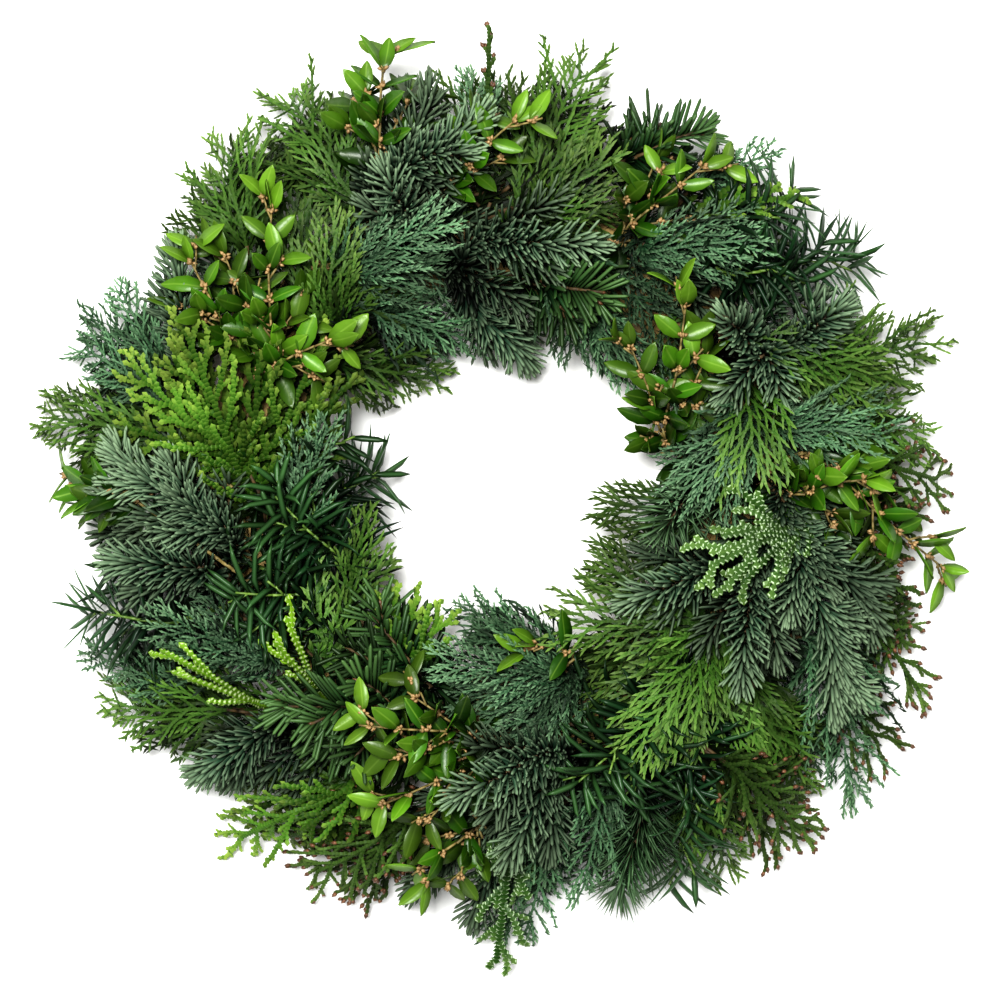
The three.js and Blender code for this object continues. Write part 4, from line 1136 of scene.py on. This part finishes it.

# %% [markdown]
# ### Low sprays, sprays on top and single sprigs
# Between the bunches the photograph shows more greens half hidden. These low sprays fill the gaps, and each
# is of the kind of the bunch that it belongs to. A few sprays lie on top of greens of another kind, and a few
# single sprigs stick out alone. All are laid one by one where the photograph shows them.

# %% Low sprays and sprays on top
# For each spray: base, tip and width, as in the bunches, and then the heights of base and tip.
LOW_SPRAYS = {
    "blue_cypress_inner_top": [
        [56, 122, 98, 104, 40, 46, 47], [70, 106, 96, 66, 44, 46, 47], [38, 122, 72, 92, 40, 47, 44],
        [30, 112, 40, 72, 34, 46, 36]],
    "blue_cypress_top_right": [[74, 138, 112, 112, 40, 46, 46]],
    "noble_fir_right": [[84, 122, 106, 84, 36, 46, 47], [124, 84, 150, 120, 36, 44, 40]],
    "yew_top_right": [[108, 118, 150, 102, 40, 44, 42]],
    "green_cypress_right": [[96, 96, 84, 40, 40, 45, 42]],
    "green_cypress_top": [
        [-22, 150, 22, 128, 40, 46, 46], [16, 152, 58, 132, 36, 46, 46],
        [-12, 172, -22, 217, 36, 38, 26], [4, 172, 8, 214, 36, 38, 26], [0, 150, 2, 194, 34, 42, 34]],
    "noble_fir_top": [[-42, 162, -64, 202, 36, 44, 34], [-46, 176, -52, 214, 34, 40, 26]],
    "noble_fir_under_top": [[-18, 118, 22, 88, 36, 46, 40], [-36, 142, 6, 136, 32, 46, 46]],
    "nordmann_fir_under_top": [[28, 122, 66, 108, 30, 46, 46]],
    "green_cypress_inner_left": [[-108, 88, -92, 140, 44, 46, 46], [-88, 96, -46, 104, 36, 46, 44]],
    "green_cypress_upper_left": [
        [-118, 100, -132, 142, 40, 44, 40], [-98, 128, -110, 166, 38, 44, 38],
        [-134, 118, -158, 146, 36, 38, 28]],
    "blue_cypress_top_left": [[-60, 124, -22, 112, 36, 46, 45]],
    "green_cypress_low_right": [
        [96, -66, 44, -92, 40, 46, 44], [88, -84, 52, -112, 36, 45, 44], [108, -6, 50, -8, 36, 42, 36],
        [112, -26, 50, -34, 40, 40, 34]],
    "noble_fir_inner_right": [[138, -8, 100, -30, 38, 46, 44]],
    "noble_fir_low_right": [[150, 4, 178, -34, 38, 44, 38], [138, 14, 172, -6, 36, 44, 40]],
    "tipped_cypress_right": [[158, 14, 206, -16, 38, 38, 26], [164, 2, 200, -30, 36, 38, 26]],
    "tipped_cypress_low_right": [[168, -88, 196, -130, 36, 28, 16]],
    "tipped_cypress_bottom_right": [[114, -136, 142, -178, 36, 36, 22]],
    "yew_bottom_right": [[70, -92, 24, -112, 40, 45, 44]],
    "nordmann_fir_low_left": [
        [-18, -116, -72, -128, 44, 46, 44], [-50, -110, -100, -124, 40, 46, 44],
        [-74, -102, -116, -78, 38, 46, 44], [-58, -92, -96, -50, 40, 45, 43]],
    "noble_fir_bottom": [
        [8, -140, -44, -150, 34, 44, 40], [-14, -142, -58, -174, 34, 40, 28],
        [12, -146, -26, -184, 34, 42, 28], [-8, -150, -30, -192, 34, 38, 24],
        [-14, -162, -46, -208, 34, 34, 18], [2, -168, -20, -220, 34, 32, 16]],
    "blue_cypress_bottom": [[14, -172, -2, -224, 34, 30, 14]],
    "tipped_cypress_bottom_left": [
        [-34, -152, -74, -200, 38, 34, 16], [-52, -142, -98, -170, 36, 36, 24]],
    "noble_fir_left": [[-164, -12, -210, -20, 34, 34, 18]],
    "yew_low_left": [[-146, -34, -211, -36, 38, 26, 16]],
    "blue_cypress_left": [[-172, 62, -211, 98, 34, 28, 20]],
    "yew_left": [[-96, -44, -108, 10, 44, 45, 45], [-104, -34, -150, -24, 40, 46, 42]],
    "lime_thuja_left": [[-116, 0, -78, 38, 38, 45, 42]],
    "blue_cypress_right": [[120, 64, 90, 26, 38, 46, 42]],
    "blue_cypress_inner_bottom": [[52, -96, 8, -108, 40, 46, 45]],
    "noble_fir_low_left": [[-98, -122, -128, -146, 36, 40, 28], [-82, -118, -114, -152, 36, 38, 24]],
    "noble_fir_top_left": [[-126, 96, -158, 130, 36, 42, 32]],
    "pine_inner_right": [[130, 8, 92, -14, 34, 45, 43]],
    "green_cypress_top_left": [[-56, 148, -84, 196, 34, 42, 30]],
    "lime_thuja_bottom_left": [[-84, -132, -128, -160, 40, 38, 24]],
    "yew_inner_left": [[-106, 10, -66, 47, 40, 44, 38]],
    "green_cypress_low_left": [[-112, -104, -152, -96, 38, 44, 38]],
}
TOP_SPRAYS = {
    "noble_fir_right": [[132, 72, 104, 46, 30, 60, 58], [134, 70, 142, 42, 28, 60, 57]],
    "green_cypress_right": [[132, 76, 192, 60, 46, 62, 46]],
}
print("low sprays", sum(map(len, LOW_SPRAYS.values())), "on top", sum(map(len, TOP_SPRAYS.values())))

# %% Single sprigs
# For each: its kind, its sprays in the same terms, and the seed of its draws.
SINGLE = {
    "budded_twig_top": ("tipped_cypress", [[-6, 186, -3, 243, 8, 50, 42]], 5),
    "green_sprig_inner_left": (
        "green_cypress", [[-80, -56, -66, 0, 22, 52, 52], [-78, -50, -52, -24, 20, 51, 49]], 6),
    "blue_sprig_inner_left": (
        "blue_cypress", [[-104, -16, -80, 40, 30, 54, 53], [-106, -6, -98, 40, 24, 53, 53]], 7),
    "green_sprig_low_left": (
        "green_cypress", [[-88, -80, -90, -30, 22, 57, 56], [-86, -76, -70, -46, 18, 56, 54]], 8),
    "lime_sprig_inner_left": (
        "lime_thuja", [[-44, -84, -55, -45, 34, 55, 53], [-40, -84, -30, -53, 30, 54, 52]], 9),
    "box_sprig_inner_bottom": ("box", [[36, -78, 4, -66, 30, 54, 52]], 10),
    "hiba_sprig_right": ("hiba", [[142, -14, 113, 10, 16, 60, 60]], 12),
    "blue_sprig_top": (
        "blue_cypress", [[-8, 184, -18, 218, 20, 48, 40], [-6, 186, -8, 216, 16, 46, 38]], 11),
}
print("single sprigs", len(SINGLE))

# %% Bunches that differ from the rule
# The lime thuja at the lower left is two young shoots and not a flat blade.
GROWN_AS = {"lime_thuja_low_left": "lime_shoot"}
# Box lies on top of the other greens: base, middle and tip stand this much higher than the blade's, in mm.
BOX_LIFT = (2, 7, 6)
# Sprigs that end this much before their ribs do, in mm.
CUT_BACK = {"yew_inner_left": 5, "green_cypress_top": 7, "green_cypress_right": 6}
# Sprays that lie alone, with no companions, on top of greens of another kind.
ALONE = {("green_cypress_right", 2)}
# Bunches with more or less painted shade than most: the share of a companion's painted shade that is left,
# and painted shade added on all.
LIT = {
    "green_cypress_right": (0.2, 0), "hiba_right": (0.5, 0), "hiba_bottom": (0.5, 0),
    "blue_cypress_right": (0.7, 0), "green_cypress_top": (1, 0.16),
}
print("bunches in a light of their own", len(LIT))

# %% Growing a piece
# A stem's thickness at its cut end and where the leaves start, in mm.
STEM_THICK = (2.3, 2.0)
# A long bare foot lies deep, so its first leaves get painted shade, which fades out over so many mm.
LONG_FOOT, FOOT_SHADE, FOOT_FADE = 6, 0.7, 20
# Glossy box leaves in full painted shade would turn black, so their painted shade stops here.
DEEPEST = {"box": 0.7}
# Companions and low sprays roll about their stems by a random angle of about this size, in radians.
ROLL = 0.12


def clockwise_of(rib):
    to_base, to_tip = rib[0][:2] - RING_MIDDLE, rib[2][:2] - RING_MIDDLE
    return -1 if to_base[0] * to_tip[1] - to_base[1] * to_tip[0] <= 0 else 1


def grown(name, node, kind, sprigs, draw):
    """One piece with the given sprigs: each has its seat, rib, width, painted shade, bare foot and roll."""
    batches = []
    for seat, rib, wide, shade, back, roll in sprigs:
        line = sprig_line(seat, clockwise_of(rib), rib, draw.normal(0, 1) * roll, back)
        leafy_length = line["length"] - line["leafy"] - OVERSHOOT[kind] - CUT_BACK.get(node, 0)
        for batch in HABITS[kind](kind, leafy_length, wide, shade, draw):
            foot = FOOT_SHADE * smooth((back - batch["place"][:, 0]) / FOOT_FADE) * (back > LONG_FOOT)
            batch["inner"] = np.clip(shade + foot, 0, DEEPEST.get(kind, 1))
            batches.append((line, batch))
        stem = np.array([[-line["leafy"], 0, 0, 0, 0, line["leafy"] + 2, 0, 0, 0.5]])
        batches.append((line, bark(stem, *STEM_THICK, draw)))
    finishes = [GREENS[kind], BARKS[WOOD_OF.get(kind, "brown")], BUDDING[BUDS_OF.get(kind, "brown")]]
    piece = finished_mesh(name, batches, finishes)
    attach(piece, "root")
    if node:
        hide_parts(node)
    return piece


# %% Laying a low spray
# A low spray's stem goes back to the seat nearest to a point so far behind its foot, in mm. Its middle
# arches up a little, its foot is bare for a few mm, and it gets half of full painted shade.
BEHIND_FOOT = 28
LOW_ARCH, LOW_FOOT = 4, 6
LOW_SHADE = 0.5


def low_sprig(spray, shade):
    x0, y0, x1, y1, wide, z0, z1 = spray
    base, tip = np.array([*([x0, y0] + LAYOUT), z0]), np.array([*([x1, y1] + LAYOUT), z1])
    behind = base - normalised(tip - base) * BEHIND_FOOT
    seat = SEATS[int(np.argmin(np.linalg.norm(SEAT_PLACES - behind, axis=1)))]
    return seat, [base, (base + tip) / 2 + [0, 0, LOW_ARCH], tip], wide, shade, LOW_FOOT, ROLL


example = low_sprig(LOW_SPRAYS["yew_inner_left"][0], LOW_SHADE)
print("a low yew spray is bound at", example[0], "and its tip is at", example[1][2].round(1))

# %% Dressing every bunch
# A companion this much lower than its sprig, in mm, gets full painted shade.
FULL_SHADE_DROP = 18


def dress(node):
    kind = GROWN_AS.get(node, kind_of(node))
    draw = np.random.default_rng(1 + list(BUNCHES).index(node))
    corners = corners_of(node)
    seat = seat_of(corners)
    share_left, gloom = LIT.get(node, (1, 0))
    lifts = BOX_LIFT if kind == "box" else (0, 0, 0)
    sprigs = []
    for number, spray in enumerate(BUNCHES[node]):
        rib = [p + [0, 0, lift] for p, lift in zip(rib_of(corners, spray), lifts)]
        for degrees, share, narrow, drop, back in FANS[kind][:1] if (node, number) in ALONE else FANS[kind]:
            own = fanned(rib, degrees, share, drop, draw) if degrees else rib
            shade = drop / FULL_SHADE_DROP * share_left + gloom
            sprigs.append((seat, own, spray[4] * narrow, shade, back, ROLL if degrees else 0.0))
    sprigs += [low_sprig(spray, LOW_SHADE) for spray in LOW_SPRAYS.get(node, [])]
    sprigs += [low_sprig(spray, 0.0) for spray in TOP_SPRAYS.get(node, [])]
    return grown("dressed_" + node, node, kind, sprigs, draw)


dressed = [dress(node) for node in BUNCHES]
for name, (kind, sprays, seed) in SINGLE.items():
    sprigs = [low_sprig(spray, 0.0) for spray in sprays]
    dressed.append(grown(name, None, kind, sprigs, np.random.default_rng(seed)))
counts = {piece.name: sum(len(f.vertices) - 2 for f in piece.data.polygons) for piece in dressed}
for kind in KINDS:
    print(kind, sum(counts["dressed_" + node] for node in BUNCHES if kind_of(node) == kind), "triangles")
print("triangles in all", sum(counts.values()), "most in one", max(counts.values()))

# %% [markdown]
# ## The straw ring
# Straw rings are pressed from loose stalks and held by thread. A torus gives the body, and its underside is
# pressed flat as the real one is. Nine hundred short stalks, all copies of one, lie on it roughly along the
# ring, so that the back looks like straw and not like a tube.

# %% Ring body
# The body stays this far inside the straw's outline, in mm, and this far above the table.
BODY_INSIDE, BODY_ABOVE = 0.8, 0.6
# Dry pressed straw: brown to pale yellow, with no gloss and a rough grain.
STRAW = plain_finish("straw_pressed_dry", "#6a5632", "#a08a58", 0.75, 160, 0.0006)

bpy.ops.object.select_all(action="DESELECT")
bpy.ops.mesh.primitive_torus_add(
    major_radius=RING["radius"] * MM, minor_radius=1.0 * MM, major_segments=96, minor_segments=20)
straw_body = bpy.context.object
straw_body.name = "straw_body"
bpy.ops.object.mode_set(mode="EDIT")
straw_mesh = bmesh.from_edit_mesh(straw_body.data)
for corner in straw_mesh.verts:
    r = math.hypot(corner.co.x, corner.co.y)
    across, high = r - RING["radius"] * MM, corner.co.z
    widened = RING["radius"] * MM + across * (RING["half_width"] - BODY_INSIDE)
    corner.co.x *= widened / r
    corner.co.y *= widened / r
    corner.co.z = max(BODY_ABOVE * MM, RING["middle"] * MM + high * (RING["half_height"] - BODY_INSIDE))
    corner.co.x += RING_MIDDLE[0] * MM
    corner.co.y += RING_MIDDLE[1] * MM
bmesh.update_edit_mesh(straw_body.data)
bpy.ops.object.mode_set(mode="OBJECT")
bpy.ops.object.shade_smooth()
straw_body.data.materials.append(STRAW)
print("ring body corners", len(straw_body.data.vertices))

# %% Stalks on the ring
STALKS = 900
# A stalk's middle lies this far inside the straw's outline, in mm, and never lower than this. Its ends
# bend up from the table under the second height, and it strays sideways by about the third value.
STALK_INSIDE = 0.9
STALKS_BEND_UNDER = 1.2
STALK_STRAY = 0.16

draw = np.random.default_rng(77)
turns = draw.uniform(0, 360, STALKS)
sections = draw.uniform(0, 360, STALKS)
middles, forward, outward = [], [], []
for turn, section in zip(turns, sections):
    place = beside_ring(turn, section, straw_reach(section) - STALK_INSIDE)
    out = place - beside_ring(turn, section, 0)
    round_ring = np.array([-math.sin(math.radians(turn)), math.cos(math.radians(turn)), 0])
    if place[2] < STALK_INSIDE:
        place[2], out = STALK_INSIDE, np.array([0, 0, -1.0])
    cross = np.cross(normalised(out), round_ring)
    middles.append(place)
    forward.append(round_ring + cross * draw.normal(0, STALK_STRAY))
    outward.append(out)
middles, forward, outward = np.array(middles), np.array(forward), np.array(outward)
long = draw.uniform(16, 30, STALKS)
size = np.stack([draw.uniform(1.4, 2.6, STALKS), long, draw.uniform(0.9, 1.5, STALKS)], 1)
stalks = copies(
    "twig", 0, middles - forward * long[:, None] / 2, forward, outward, size, 0.0, draw.random(STALKS), 0.0)
straw_stalks = finished_mesh("straw_stalks", [(STRAIGHT, stalks)], [STRAW], STALKS_BEND_UNDER)
for piece in (straw_body, straw_stalks):
    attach(piece, "root")
    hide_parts("straw_ring")
print("straw stalks", STALKS)

# %% [markdown]
# ## The binding wire
# Florist's wire is soft iron with green lacquer. The solid wire has the right run, so it stays and only
# gets its finish. Lacquer hides the metal, so this is a dark green with a clear gloss over it.

# %% Wire finish
WIRE = surfaced(new_material("iron_wire_green_lacquer"), {
    "Base Color": "#2f4a34", "Metallic": 0.0, "Roughness": 0.4, "Coat Weight": 0.4})
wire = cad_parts["binding_wire"]
wire.data.materials.clear()
wire.data.materials.append(WIRE)
print("wire finish", wire.data.materials[0].name)

# %% [markdown]
# ## Floor, light and camera
# The photograph looks straight down on the wreath, which lies on a white ground under soft light. A large
# pale floor, an even white sky and one wide lamp at the top left give the same shade: bright upper faces,
# and deep soft gaps between the sprigs. A strong contrast in the view does the rest.

# %% The floor
bpy.ops.object.select_all(action="DESELECT")
bpy.ops.mesh.primitive_plane_add(size=8, location=(0, 0, 0))
floor = bpy.context.object
floor.name = "floor"
# Matt white paint: bright and without any gloss of its own.
FLOOR = surfaced(new_material("floor_matt_white"), {"Base Color": "#f6f6f4", "Roughness": 0.9})
floor.data.materials.append(FLOOR)
floor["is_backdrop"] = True
print("floor", round(floor.dimensions.x, 1), "m across")

# %% The light
world = bpy.data.worlds.new("soft_studio")
bpy.context.scene.world = world
world.use_nodes = True
sky = world.node_tree.nodes["Background"]
sky.inputs["Color"].default_value = (1.0, 1.0, 1.0, 1)
sky.inputs["Strength"].default_value = 0.38

LAMP_PLACE = (-0.25, 0.35, 2.1)
lamp = bpy.data.lights.new("key", "AREA")
lamp.shape = "DISK"
lamp.size = 0.7
lamp.energy = 61
lamp_holder = bpy.data.objects.new("key", lamp)
bpy.context.scene.collection.objects.link(lamp_holder)
lamp_holder.location = LAMP_PLACE
# The lamp aims at the middle of the floor.
x, y, z = LAMP_PLACE
lamp_holder.rotation_euler = (math.atan2(math.hypot(x, y), z), 0, math.atan2(-y, -x) - math.pi / 2)
bpy.context.scene.view_settings.view_transform = "Standard"
bpy.context.scene.view_settings.look = "High Contrast"
print("lamp", lamp.energy, "W from", LAMP_PLACE)

# %% The camera
# It sees this much at the height of the upper greens, in mm.
SEEN, FOCUS_HEIGHT = 500, 50
LENS, SENSOR = 100, 36
camera_data = bpy.data.cameras.new("camera")
camera_data.lens = LENS
camera_data.sensor_width = SENSOR
camera_data.clip_end = 20
camera = bpy.data.objects.new("camera", camera_data)
bpy.context.scene.collection.objects.link(camera)
camera.location = (LAYOUT[0] * MM, LAYOUT[1] * MM, (SEEN * LENS / SENSOR + FOCUS_HEIGHT) * MM)
bpy.context.scene.camera = camera
print("camera", round(camera.location.z, 3), "m up")

# %% Size and table
low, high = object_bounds()
print("visual box", [round(v, 3) for v in (*low, *high)])
